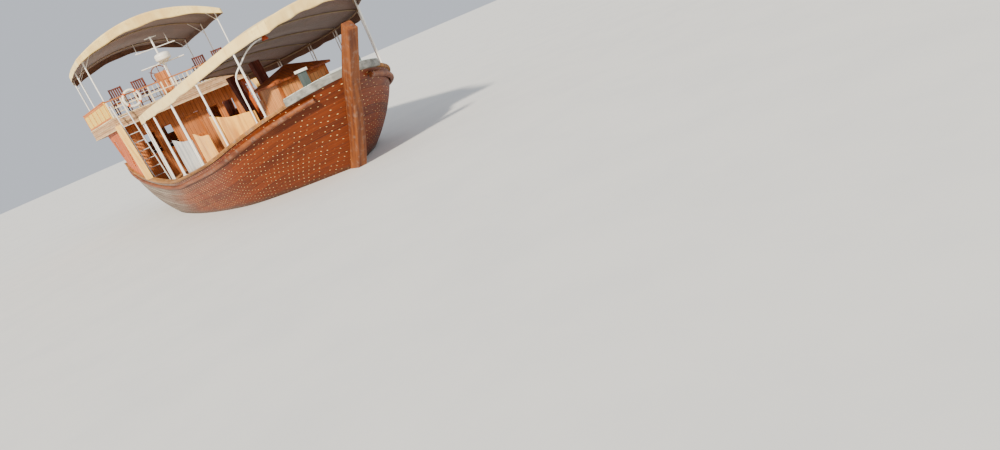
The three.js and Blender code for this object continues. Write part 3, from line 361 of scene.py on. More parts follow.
@dataclass(frozen=True)
class Boards(Finish):
    """Boards laid side by side, each with its own tone, with a groove between them."""

    light: str
    dark: str
    run: Axis
    across: Axis | None
    pitch: float = 0.12
    groove: float = 0.006
    grey: float = 0.2
    gloss: float = 0.45
    coat: float = 0.0
    nails: float = 0.0  # pitch of the nail heads along a board, or 0 for none
    tone: float = 0.35

    def _build(self) -> bpy.types.Material:
        """A board's number is its place across, divided by the pitch and cut to a whole. Where
        across is None, upright boards go round corners, so their place is x plus y.

        Returns:
            The material.
        """
        shader = Shader(self.name)
        place = shader.place()
        parts = shader.parts(place)
        across = parts[0] + parts[1] if self.across is None else parts[self.across.value]
        count = across / self.pitch
        inside = count.fract()
        edge = (inside - 0.5).size() * self.pitch
        gap = edge.ease(self.pitch / 2 - self.groove, self.pitch / 2 - self.groove * 0.3)
        luck = shader.chance(count.floor())
        moved = shader.shift(place, shader.vector(luck * 31.0, luck * 17.0, luck * 23.0))
        threads = shader.drawn(moved, scales(self.run, 2.0, 60.0), 3.0, 0.65)
        grain = shader.drawn(moved, scales(self.run, 0.6, 8.0))
        wear = shader.noise(place, 5.0, 5.0, 0.65).ease(0.5, 0.75) * self.grey
        tone = grain.ease(0.3, 0.7) * (1 - self.tone) + luck * self.tone
        colour = shader.mix(tone, self.dark, self.light)
        colour = shader.mix(threads.ease(0.42, 0.3) * 0.45, colour, self.dark)
        colour = shader.mix(wear, colour, WEATHERED_BOARD)
        colour = shader.mix(gap * 0.8, colour, BOARD_GAP)
        height = threads * 0.25 + grain * 0.35 - gap * 1.4
        rough = 1.0 - self.gloss + threads * 0.2 + wear * 0.3
        if self.nails > 0:
            head = self._heads(parts[self.run.value], inside)
            colour = shader.mix(head * 0.8, colour, IRON_HEAD)
            height = height + head * 0.4
        return shader.finish(colour, rough, height, depth=0.004, coat=self.coat)

    def _heads(self, along: Value, inside: Value) -> Value:
        """Nail heads stand in two lines on a board, at equal steps along it.

        Args:
            along: the place along the board.
            inside: the place across it, from 0 to 1.

        Returns:
            1 on a head and 0 beside it.
        """
        near = ((along / self.nails).fract() - 0.5) * self.nails
        sideways = ((inside * 2).fract() - 0.5) * (self.pitch / 2)
        return (near * near + sideways * sideways).root().ease(0.008, 0.005)


@dataclass(frozen=True)
class HullVarnish(Finish):
    """The varnished planking, with its seams, butts and staggered rows of nail heads."""

    name: str = "hull_varnish"
    light: str = "7e360a"
    dark: str = "4a1c06"
    thread: str = "571c08"
    glow: str = "8e4614"
    bleached: str = "8a8074"
    bleached_dark: str = "62564a"
    streaks: str = "4a2010"
    ledges: str = "d2c4ae"
    # pale nail heads: partly their own colour, partly a painted glint
    nail: str = "ffdc96"
    seam: str = "2c140b"
    wet: str = "3a2a1c"
    bottom_red: str = "6e2a1e"
    bottom_green: str = "4f5a3a"
    planks: float = 20.0  # from the keel to the rail
    plank_length: float = 4.3
    row: float = 0.27
    stagger: float = 0.072
    head: float = 0.0115

    def _build(self) -> bpy.types.Material:
        """U is the way along in metres and V counts planks down from the rail.

        Returns:
            The material.
        """
        shader = Shader(self.name)
        place = shader.place()
        x, _, z = shader.parts(place)
        u, v = shader.uv()
        width = shader.attribute("plank_width")
        luck = shader.chance(v.floor())
        edge = (0.5 - (v.fract() - 0.5).size()) * width
        seam = edge.ease(0.007, 0.002)
        butt_place = ((u + luck * 5.0) / self.plank_length).fract()
        butt = ((butt_place - 0.5).size() * self.plank_length).ease(0.006, 0.002)
        moved = shader.vector(u + luck * 13.0, v * 2.0, luck * 7.0)
        grain = shader.drawn(moved, (0.8, 4.0, 1.0), 4.0, 0.62)
        threads = shader.drawn(moved, (3.0, 26.0, 1.0), 3.0, 0.65)
        streak = shader.drawn(place, (5.0, 5.0, 0.35))
        cloud = shader.noise(place, 0.9, 4.0, 0.6)
        aft = (x + cloud * 3.0).ease(3.4, -1.8)
        top = v.ease(3.2, 0.4)
        pale = (aft * 0.85 + top * 0.22 * x.ease(6.5, 1.0)).least(0.9)
        ledge = ((v * 0.5).fract() - 0.5).size().ease(0.45, 0.48)
        # mask of the nail heads, whose pale colour is partly a painted glint
        nail = self._nails(shader, u, v, width) * (1 - aft * 0.75)
        wet = (z + cloud * 0.16).ease(0.24, 0.1)
        below = (z + cloud * 0.05).ease(0.05, 0.02)
        bleached = shader.mix(grain.ease(0.35, 0.65), self.bleached_dark, self.bleached)
        bottom = shader.mix(streak.ease(0.4, 0.7), self.bottom_red, self.bottom_green)
        colour = shader.mix(grain.ease(0.3, 0.7) * 0.6 + luck * 0.4, self.dark, self.light)
        layers = (
            (threads.ease(0.44, 0.3) * 0.45, self.thread),
            (cloud.ease(0.5, 0.75) * 0.35, self.glow), (pale, bleached),
            (streak.ease(0.56, 0.72) * 0.35, self.streaks),
            (ledge * aft * 0.6, self.ledges), (nail * 0.95, self.nail),
            ((seam * 0.75).most(butt * 0.7), self.seam), (wet * 0.7, self.wet), (below, bottom),
        )
        for amount, over in layers:
            colour = shader.mix(amount, colour, over)
        rough = 0.42 + threads * 0.2 + pale * 0.25 + below * 0.3 - wet * 0.12
        height = grain * 0.35 + threads * 0.25 - seam * 1.3 - butt * 0.8 + nail * 0.7
        return shader.finish(colour, rough, height, depth=0.005, coat=0.03, gloss=0.2)

    def _nails(self, shader: Shader, u: Value, v: Value, width: Value) -> Value:
        """Heads stand in four lines on a plank, and each line is stepped forward of the last.

        Args:
            shader: the shader.
            u: the way along.
            v: planks counted down from the rail.
            width: a plank's width.

        Returns:
            1 on a head and 0 beside it.
        """
        lines = v * 4.0
        count = lines.floor()
        jitter = (shader.chance(count * 1.7 + 3.1) - 0.5) * 0.014
        run = (u - count * self.stagger + jitter) / self.row
        spot = run.floor()
        miss = shader.chance(spot * 3.3 + count * 7.7)
        along = (run.fract() - 0.5 + (miss - 0.5) * 0.06) * self.row
        wander = (shader.chance(spot * 5.1 + count) - 0.5) * 0.12
        across = (lines.fract() - 0.5 + wander) * width * 0.25
        distance = (along * along + across * across).root()
        head = (distance - miss * 0.003).ease(self.head, self.head * 0.55)
        return head * miss.ease(0.05, 0.5)


@dataclass(frozen=True)
class Paint(Finish):
    """Brushed paint with dirt and chips."""

    colour: str
    dirt: str = "8d8272"
    chips: float = 0.25
    gloss: float = 0.55
    grime: float = 0.35

    def _build(self) -> bpy.types.Material:
        """Dirt is noise drawn out downwards, and chips are the peaks of a finer noise.

        Returns:
            The material.
        """
        shader = Shader(self.name)
        place = shader.place()
        runs = shader.drawn(place, scales(Axis.Z, 1.1, 14.0))
        fine = shader.noise(place, 38.0, 4.0, 0.6)
        peaks = shader.noise(place, 11.0, 5.0, 0.7) + fine * 0.12
        chip = peaks.ease(0.69, 0.73) * self.chips * 2.0
        colour = shader.mix(runs.ease(0.45, 0.75) * self.grime, self.colour, self.dirt)
        colour = shader.mix(fine.ease(0.35, 0.7) * 0.12, colour, self.dirt)
        colour = shader.mix(chip.least(1.0), colour, BARE_WOOD)
        rough = 1.0 - self.gloss + fine * 0.15 + chip * 0.3
        return shader.finish(colour, rough, fine * 0.3 - chip * 0.5, depth=0.0015, coat=0.1)


@dataclass(frozen=True)
class Canvas(Finish):
    """Woven awning cloth, sewn from widths, stained and bleached, with painted shade in its folds.
    """

    colour: str
    stain_and_shade: str
    seam_pitch: float = 1.45
    stains: float = 0.4
    fold_shade: float = 0.0  # how much painted shade darkens the hanging folds

    def _build(self) -> bpy.types.Material:
        """The weave is two crossed sines and the seams are lines at every width of cloth.

        Returns:
            The material.
        """
        shader = Shader(self.name)
        place = shader.place()
        wx, wy, wz = ((part * 900.0).sine() for part in shader.parts(place))
        x = shader.parts(place)[0]
        seam_way = (((x / self.seam_pitch).fract() - 0.5).size() - 0.5).size() * self.seam_pitch
        seam = seam_way.ease(0.02, 0.012)
        cloud = shader.noise(place, 1.1, 5.0, 0.62)
        blots = shader.noise(place, 4.2, 6.0, 0.68)
        crease = shader.drawn(place, scales(Axis.X, 2.5, 7.0))
        folds = shader.drawn(place, scales(Axis.Z, 0.45, 4.0), 4.0, 0.55)
        colour = shader.mix(cloud.ease(0.38, 0.68) * self.stains, self.colour, self.stain_and_shade)
        # the folds' term is painted shade, drawn in the stain colour
        for amount in (
            blots.ease(0.57, 0.72) * self.stains, folds.ease(0.42, 0.62) * self.fold_shade, seam * 0.3
        ):
            colour = shader.mix(amount, colour, self.stain_and_shade)
        height = (wx * wy + wz * 0.5) * 0.08 + crease * 1.2 + seam * 0.35
        return shader.finish(colour, 0.82 + blots * 0.12, height, depth=0.006, sheen=0.25)


@dataclass(frozen=True)
class Metal(Finish):
    """Bare metal with a dull skin and spots of rust or verdigris."""

    colour: str
    spots: str
    rough: float = 0.38
    amount: float = 0.4

    def _build(self) -> bpy.types.Material:
        """Spots are the peaks of a cloudy noise, and the skin is a finer one.

        Returns:
            The material.
        """
        shader = Shader(self.name)
        place = shader.place()
        skin = shader.noise(place, 26.0, 4.0, 0.6)
        spot = shader.noise(place, 9.0, 6.0, 0.7).ease(0.55, 0.68) * self.amount
        colour = shader.mix(skin.ease(0.3, 0.7) * 0.3, self.colour, DULL_SKIN)
        colour = shader.mix(spot, colour, self.spots)
        rough = self.rough + skin * 0.2 + spot * 0.3
        return shader.finish(colour, rough, skin * 0.4 + spot * 0.4, depth=0.0012, metal=0.85)


@dataclass(frozen=True)
class Plain(Finish):
    """Plastic, foam or a smooth floor, with a fine surface of its own."""

    colour: str
    second: str
    rough: float = 0.5
    scale: float = 20.0
    depth: float = 0.001
    coat: float = 0.0

    def _build(self) -> bpy.types.Material:
        """A cloudy noise mixes the two colours and roughens the surface.

        Returns:
            The material.
        """
        shader = Shader(self.name)
        place = shader.place()
        cloud = shader.noise(place, self.scale, 4.0, 0.6)
        broad = shader.noise(place, self.scale * 0.15)
        amount = cloud.ease(0.35, 0.7) * 0.5 + broad * 0.3
        colour = shader.mix(amount, self.colour, self.second)
        return shader.finish(colour, self.rough + cloud * 0.15, cloud, self.depth, self.coat)


VARNISH = HullVarnish()
RAIL_TAN = Timber("rail_tan", "ac763a", "784c22", Axis.X, 0.4, 0.45)
STRAKE_BROWN = Timber("strake_brown", "86481c", "54250c", Axis.X, 0.25, 0.5, 0.1)
STEM_ORANGE = Timber("stem_orange", "824616", "54260b", Axis.Z, 0.2, 0.5, 0.1, lean=40)
KEEL_DARK = Timber("keel_dark", "6b3a28", "3c2018", Axis.X, 0.3, 0.35)
RUDDER_WOOD = Timber("rudder_wood", "8a4a2c", "4d2416", Axis.Z, 0.25, 0.4, lean=-26)
PLATFORM_GREY = Timber("platform_grey", "92918a", "5f5e58", Axis.Y, 0.3, 0.35)
PLATFORM_TOP = Boards("platform_top", "e6ebe4", "a9bdb0", Axis.Y, Axis.X, 0.2, 0.008, 0.3, 0.5)
KING_RED = Timber("king_red", "7a3420", "451c12", Axis.Z, 0.15, 0.4, lean=-13)
CHAIR_RED = Timber("chair_red", "6c3020", "3c1a12", Axis.Z, 0.15, 0.4)
POST_YELLOW = Timber("post_yellow", "ffd377", "e4a94c", Axis.Z, 0.14, 0.5, lean=-31)
TRIM_ORANGE, TRIM_ALONG, TRIM_ATHWART = (
    Timber(name, "d8803a", "a2531c", run, 0.15, 0.5)
    for name, run in (("trim_orange", Axis.Z), ("trim_along", Axis.X), ("trim_athwart", Axis.Y))
)
LEDGE_CREAM = Timber("ledge_cream", "e6cfa4", "bf9f70", Axis.X, 0.3, 0.45)
RAIL_BROWN = Timber("rail_brown", "c47838", "8c4a20", Axis.Y, 0.2, 0.5)
DECK_BOARDS = Boards(
    "deck_boards", "c08c58", "8f5f36", Axis.X, Axis.Y, 0.13, 0.007, 0.4, 0.3, nails=0.62
)
BULWARK_BOARDS = Boards(
    "bulwark_boards", "9c5630", "663018", Axis.X, Axis.Z, 0.16, 0.007, 0.3, 0.35
)
HOUSE_WALL = Boards(
    "house_wall", "f0a65e", "cc8040", Axis.Z, None, 0.115, 0.006, 0.12, 0.5, coat=0.15
)
ROOF_BOARDS = Boards("roof_boards", "b8622e", "863d1a", Axis.X, Axis.Y, 0.12, 0.007, 0.15, 0.45)
CABIN_SIDE = Boards(
    "cabin_side_boards", "e67630", "963e12", Axis.Z, None, 0.15, 0.006, 0.12, 0.45, coat=0.1
)
CABIN_END = Boards("cabin_end_boards", "dd8c50", "a8602f", Axis.Z, None, 0.15, 0.007, 0.15, 0.4)
PANEL_YELLOW = Boards(
    "panel_yellow", "ffd95e", "eab83e", Axis.Z, None, 0.135, 0.007, 0.08, 0.55, 0.15, tone=0.5
)
FASCIA_SIDE = Boards("fascia_side", "d2a87e", "9c7650", Axis.X, Axis.Z, 0.225, 0.008, 0.3, 0.35)
WHITE = Paint("white_gloss", "f0ece0")
CREAM = Paint("cream_paint", "f2dfb6", "b0916a")
PIPE_TAN = Paint("pipe_tan", "a08c72", "6a5a4a", 0.3, 0.45, 0.4)
LADDER_GREY = Paint("ladder_grey", "d2d2cd", "8c7058", 0.4, 0.45, 0.35)
POST_WHITE = Paint("post_white", "f1eee6", "8a8176", 0.35, 0.45, 0.4)
BITT_DARK = Paint("bitt_dark", "46514f", "2b2f2e", 0.3, 0.4)
AWNING_TOP = Canvas("awning_top", "fde196", "cfa25a", 1.45, 0.45)
# underside of the cream awning, painted dark brown as shade
AWNING_UNDERSIDE_SHADE = Canvas("awning_underside_shade", "70503e", "4a342a", 1.45, 0.5)
# the last number of a valance or screen is the painted shade in its folds
VALANCE_CREAM = Canvas("valance_cream", "fde196", "cfa25a", 0.9, 0.45, 0.3)
SCREEN_TAN = Canvas("screen_tan", "f8b850", "b06c26", 0.85, 0.4, 0.75)
SCREEN_BLUE = Canvas("screen_blue", "ccc8be", "84888e", 0.8, 0.4, 0.65)
STEEL = Metal("dull_steel", "a5a9ab", "7b4a30", 0.4, 0.35)
BRONZE = Metal("dull_bronze", "a87a42", "4e7a62", 0.38, 0.4)
IRON = Metal("black_iron", "3a3634", "6d3d24", 0.6, 0.6)
RADOME_WHITE = Plain("radome_white", "f2efe6", "d6d0c2", 0.35, 8.0, 0.0004, 0.2)
BUOY_WHITE = Plain("buoy_white", "f2ecde", "d6cbb4", 0.5, 25.0, 0.0006, 0.1)
BUOY_ORANGE = Plain("buoy_orange", "e06a22", "bb4f18", 0.5, 25.0, 0.0006, 0.1)
LAMP_RED = Plain("lamp_shade", "c2522a", "85351c", 0.4, 18.0, 0.0006, 0.2)
FLOOR_GREY = Plain("floor_grey", "d9d9d6", "cfd0cf", 0.7, 0.6, 0.0002)


# Meshes


def grid_quads(rows: int, cols: int, wrap: bool = False) -> Array:
    """Faces between neighbouring points of a grid, whose columns may close into a ring.

    Args:
        rows: how many rows of points.
        cols: how many points in a row.
        wrap: whether the last column joins the first.

    Returns:
        Four corners a face.
    """
    r = np.arange(rows - 1)[:, None]
    c = np.arange(cols if wrap else cols - 1)[None, :]
    n = (c + 1) % cols
    corners = [r * cols + c, r * cols + n, (r + 1) * cols + n, (r + 1) * cols + c]
    return np.stack(np.broadcast_arrays(*corners), -1).reshape(-1, 4)


def volume(points: Array, faces: list[list[int]]) -> float:
    """Six times the volume inside faces.

    Args:
        points: the points.
        faces: the faces, of any number of corners.

    Returns:
        The volume, which is negative where the faces point inwards.
    """
    total = 0.0
    for size in {len(f) for f in faces}:
        index = np.array([f for f in faces if len(f) == size])
        for k in range(1, size - 1):
            a, b, c = points[index[:, 0]], points[index[:, k]], points[index[:, k + 1]]
            total += float(np.einsum("ij,ij->i", a, np.cross(b, c)).sum())
    return total


@dataclass
class Surface:
    """Points and faces, with the numbers that finishes read."""

    points: Array
    faces: list[list[int]]
    slots: list[int] = field(default_factory=list)
    uv: Array | None = None
    extra: dict[str, Array] = field(default_factory=dict)

    def outward(self) -> Surface:
        """Turns the faces outwards.

        Returns:
            The surface itself.
        """
        if volume(self.points, self.faces) < 0:
            self.faces = [f[::-1] for f in self.faces]
        return self

    def with_slot(self, slot: int) -> Surface:
        """The surface with one material number on all faces."""
        self.slots = [slot] * len(self.faces)
        return self


def merged(parts: Sequence[Surface]) -> Surface:
    """All the surfaces as one.

    Args:
        parts: the surfaces.

    Returns:
        Their points and faces, with zeros for a UV that only others have.
    """
    starts = np.cumsum([0] + [len(part.points) for part in parts]).tolist()
    faces = [[i + start for i in f] for part, start in zip(parts, starts) for f in part.faces]
    slots = [slot for part in parts for slot in part.slots or [0] * len(part.faces)]
    uv = None
    if any(part.uv is not None for part in parts):
        blank = (np.zeros((len(part.points), 2)) for part in parts)
        uv = np.vstack([b if part.uv is None else part.uv for part, b in zip(parts, blank)])
    return Surface(np.vstack([part.points for part in parts]), faces, slots, uv)


def boxes(spans: Sequence[Point]) -> Surface:
    """Rectangular blocks.

    Args:
        spans: for each block, its two ends along X, along Y and along Z, in any order.

    Returns:
        The blocks as one surface.
    """
    ends = np.asarray(spans, float).reshape(-1, 3, 2)
    lows, highs = ends.min(2), ends.max(2)
    unit = np.array([[x, y, z] for z in (0, 1) for y in (0, 1) for x in (0, 1)])
    points = lows[:, None] + (highs - lows)[:, None] * unit
    quads = np.array(
        [[0, 2, 3, 1], [4, 5, 7, 6], [0, 1, 5, 4], [1, 3, 7, 5], [3, 2, 6, 7], [2, 0, 4, 6]]
    )
    faces = (np.arange(len(lows))[:, None, None] * 8 + quads).reshape(-1, 4)
    return Surface(points.reshape(-1, 3), faces.tolist())


def sweep(path: Array, profile: Array, side: Point = UPRIGHT, scale: Array | float = 1) -> Surface:
    """A closed profile carried along a path: point plus side times p plus up times q.

    Args:
        path: points along the middle.
        profile: the profile's corners, to the side and up.
        side: a rough direction to the side, then squared to the path.
        scale: the profile's size at each point.

    Returns:
        A closed surface with U along the way and V round it.
    """
    step = np.gradient(path, axis=0)
    along = step / np.linalg.norm(step, axis=1, keepdims=True)
    aside = np.tile(side, (len(path), 1))
    aside = aside - along * (aside * along).sum(1, keepdims=True)
    aside /= np.linalg.norm(aside, axis=1, keepdims=True)
    up = np.cross(along, aside)
    size = np.broadcast_to(scale, len(path))
    rings = path[:, None] + size[:, None, None] * (
        aside[:, None] * profile[None, :, :1] + up[:, None] * profile[None, :, 1:]
    )
    rows, cols = len(path), len(profile)
    faces = grid_quads(rows, cols, True).tolist()
    faces += [list(range(cols)), [(rows - 1) * cols + i for i in reversed(range(cols))]]
    steps = np.linalg.norm(np.diff(path, axis=0), axis=1)
    length = np.concatenate([[0], np.cumsum(steps)])[:, None]
    uv = np.stack(np.broadcast_arrays(length, np.linspace(0, 1, cols)[None]), -1).reshape(-1, 2)
    return Surface(rings.reshape(-1, 3), faces, uv=uv).outward()


def turns(steps: int) -> Array:
    """Equal angles round a full turn."""
    return np.arange(steps) * 2 * pi / steps


def circle(radius: float, sides: int = 14) -> Array:
    """A round profile."""
    return radius * np.stack([np.cos(turns(sides)), np.sin(turns(sides))], 1)


def rounded(width: float, height: float, corner: float, steps: int = 3) -> Array:
    """A rectangle with rounded corners, centred.

    Args:
        width: its size to the side.
        height: its size upwards.
        corner: the corners' radius.
        steps: how many points a corner has.

    Returns:
        The profile's corners.
    """
    quarter = np.linspace(0, pi / 2, steps)
    parts = []
    for k, (sx, sy) in enumerate([(1, 1), (-1, 1), (-1, -1), (1, -1)]):
        angle = quarter + k * pi / 2
        middle = np.array([sx * (width / 2 - corner), sy * (height / 2 - corner)])
        parts.append(middle + corner * np.stack([np.cos(angle), np.sin(angle)], 1))
    return np.vstack(parts)


def curve(points: Sequence[Point], count: int) -> Array:
    """A smooth line through points: a cubic between each two, with slopes from their neighbours.

    Args:
        points: the points.
        count: how many points the line has.

    Returns:
        The points, at equal steps of the cubics' parameter.
    """
    given = np.asarray(points, float)
    padded = np.vstack([2 * given[0] - given[1], given, 2 * given[-1] - given[-2]])
    t = np.linspace(0, len(given) - 1 - 1e-9, count)
    i = t.astype(int)
    f = (t - i)[:, None]
    a, b, c, d = padded[i], padded[i + 1], padded[i + 2], padded[i + 3]
    square, cube = 2 * a - 5 * b + 4 * c - d, 3 * b - a - 3 * c + d
    return 0.5 * (2 * b + (c - a) * f + square * f**2 + cube * f**3)


def hermite(a: Array, b: Array, low: Array, high: Array, t: Array) -> Array:
    """A cubic from a to b as t goes from 0 to 1, with the slopes low and high at its ends."""
    start = (2 * t**3 - 3 * t**2 + 1) * a + (t**3 - 2 * t**2 + t) * low
    return start + (3 * t**2 - 2 * t**3) * b + (t**3 - t**2) * high


def line(start: Point, end: Point, count: int = 2) -> Array:
    """Points on a straight line."""
    return np.linspace(start, end, count)


def pipe(points: Array, radius: float, sides: int = 14, side: Point = UPRIGHT) -> Surface:
    """A round bar along points."""
    return sweep(points, circle(radius, sides), side)


# the places of X, Y and Z among cosine, sine and height
ROUND = {Axis.X: [2, 0, 1], Axis.Y: [1, 2, 0], Axis.Z: [0, 1, 2]}


def turned(profile: Array, axis: Axis, steps: int) -> Array:
    """Radii and heights turned round an axis.

    Args:
        profile: the radii and heights.
        axis: the axis.
        steps: how many steps round.

    Returns:
        Points, with a row for each radius.
    """
    out, angle = profile[:, :1], turns(steps)
    parts = np.broadcast_arrays(out * np.cos(angle), out * np.sin(angle), profile[:, 1:])
    return np.stack(parts, -1)[..., ROUND[axis]]


def revolve(profile: Sequence[Point], origin: Point, axis: Axis, steps: int = 32) -> Surface:
    """A profile of radius and height turned round an axis through the origin given.

    Args:
        profile: radii and heights, whose ends are at radius 0.
        origin: where height 0 lies.
        axis: the axis of turning.
        steps: how many steps round.

    Returns:
        A closed surface.
    """
    rows = np.array(profile, float)
    rim, ends = turned(rows[1:-1], axis, steps), turned(rows[[0, -1]], axis, 1)
    points = np.vstack([rim.reshape(-1, 3), ends[:, 0]]) + origin
    faces = grid_quads(len(rim), steps, True).tolist()
    low, high = len(rim) * steps, len(rim) * steps + 1
    last = (len(rim) - 1) * steps
    faces += [[low, (i + 1) % steps, i] for i in range(steps)]
    faces += [[high, last + i, last + (i + 1) % steps] for i in range(steps)]
    return Surface(points, faces).outward()


def ring(centre: Point, radius: float, profile: Array, axis: Axis, steps: int = 72) -> Surface:
    """A profile carried round a circle about an axis.

    Args:
        centre: the circle's centre.
        radius: its radius.
        profile: the profile's corners, outwards and along the axis.
        axis: the axis.
        steps: how many steps round.

    Returns:
        A closed surface.
    """
    sides = len(profile)
    points = turned(profile + [radius, 0], axis, steps).transpose(1, 0, 2)
    faces, close = grid_quads(steps, sides, True), grid_quads(2, sides, True)
    joint = np.where(close < sides, close + (steps - 1) * sides, close - sides)
    every = faces.tolist() + joint.tolist()
    return Surface(points.reshape(-1, 3) + centre, every).outward()


def round_edges(thing: bpy.types.Object, width: float) -> None:
    """Rounds the edges that turn by more than 40 degrees.

    Args:
        thing: the object.
        width: the rounding's width.
    """
    modifier = thing.modifiers.new("edges", "BEVEL")
    modifier.width = width
    modifier.segments = 2
    modifier.limit_method = "ANGLE"
    modifier.angle_limit = radians(40)


def put(name: str, data: Any) -> bpy.types.Object:
    """Puts an object into the scene.

    Args:
        name: its name.
        data: its mesh, camera or light.

    Returns:
        The object.
    """
    made = bpy.data.objects.new(name, data)
    bpy.context.scene.collection.objects.link(made)
    return made


def add_piece(
    name: str, surface: Surface, finishes: Sequence[Finish],
    replaces: Sequence[str] = (), body: str = "boat", smooth: float = 35.0, bevel: float = 0.0,
) -> bpy.types.Object:
    """Puts a surface into the scene as a piece.

    Args:
        name: the piece's name.
        surface: its points and faces.
        finishes: its finishes, by material number.
        replaces: the solids that it stands for.
        body: the body that it rides on.
        smooth: edges sharper than this angle stay sharp, in degrees.
        bevel: the width of rounded edges.

    Returns:
        The object.
    """
    mesh = bpy.data.meshes.new(name)
    mesh.from_pydata(surface.points.tolist(), [], surface.faces)
    if surface.uv is not None:
        layer = mesh.uv_layers.new(name="UVMap")
        loops = np.zeros(len(mesh.loops), np.int32)
        mesh.loops.foreach_get("vertex_index", loops)
        layer.data.foreach_set("uv", surface.uv[loops].astype(np.float32).ravel())
    for key, numbers in surface.extra.items():
        stored = mesh.attributes.new(key, "FLOAT", "POINT")
        stored.data.foreach_set("value", numbers.astype(np.float32))
    for finish in finishes:
        mesh.materials.append(finish.material())
    if surface.slots:
        mesh.polygons.foreach_set("material_index", np.array(surface.slots, np.int32))
    mesh.polygons.foreach_set("use_smooth", np.ones(len(mesh.polygons), bool))
    mesh.update()
    mesh.set_sharp_from_angle(angle=radians(smooth))
    made = put(name, mesh)
    if bevel > 0:
        round_edges(made, bevel)
    if replaces:
        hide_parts(*replaces)
    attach(made, body)
    log.info("%s: %d faces", name, len(surface.faces))
    return made


def dress(node: str, finish: Finish, bevel: float = 0.0) -> None:
    """Gives a solid its finish, and rounds its edges a little.

    Args:
        node: the solid's name.
        finish: its finish.
        bevel: the width of its rounded edges, or 0 for sharp ones.
    """
    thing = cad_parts[node]
    if not thing.material_slots:
        thing.data.materials.append(finish.material())
    for slot in thing.material_slots:
        slot.material = finish.material()
    if bevel > 0:
        weld = thing.modifiers.new("weld", "WELD")
        weld.merge_threshold = 0.00005
        round_edges(thing, bevel)
    log.info("%s: dressed", node)


# The hull's form


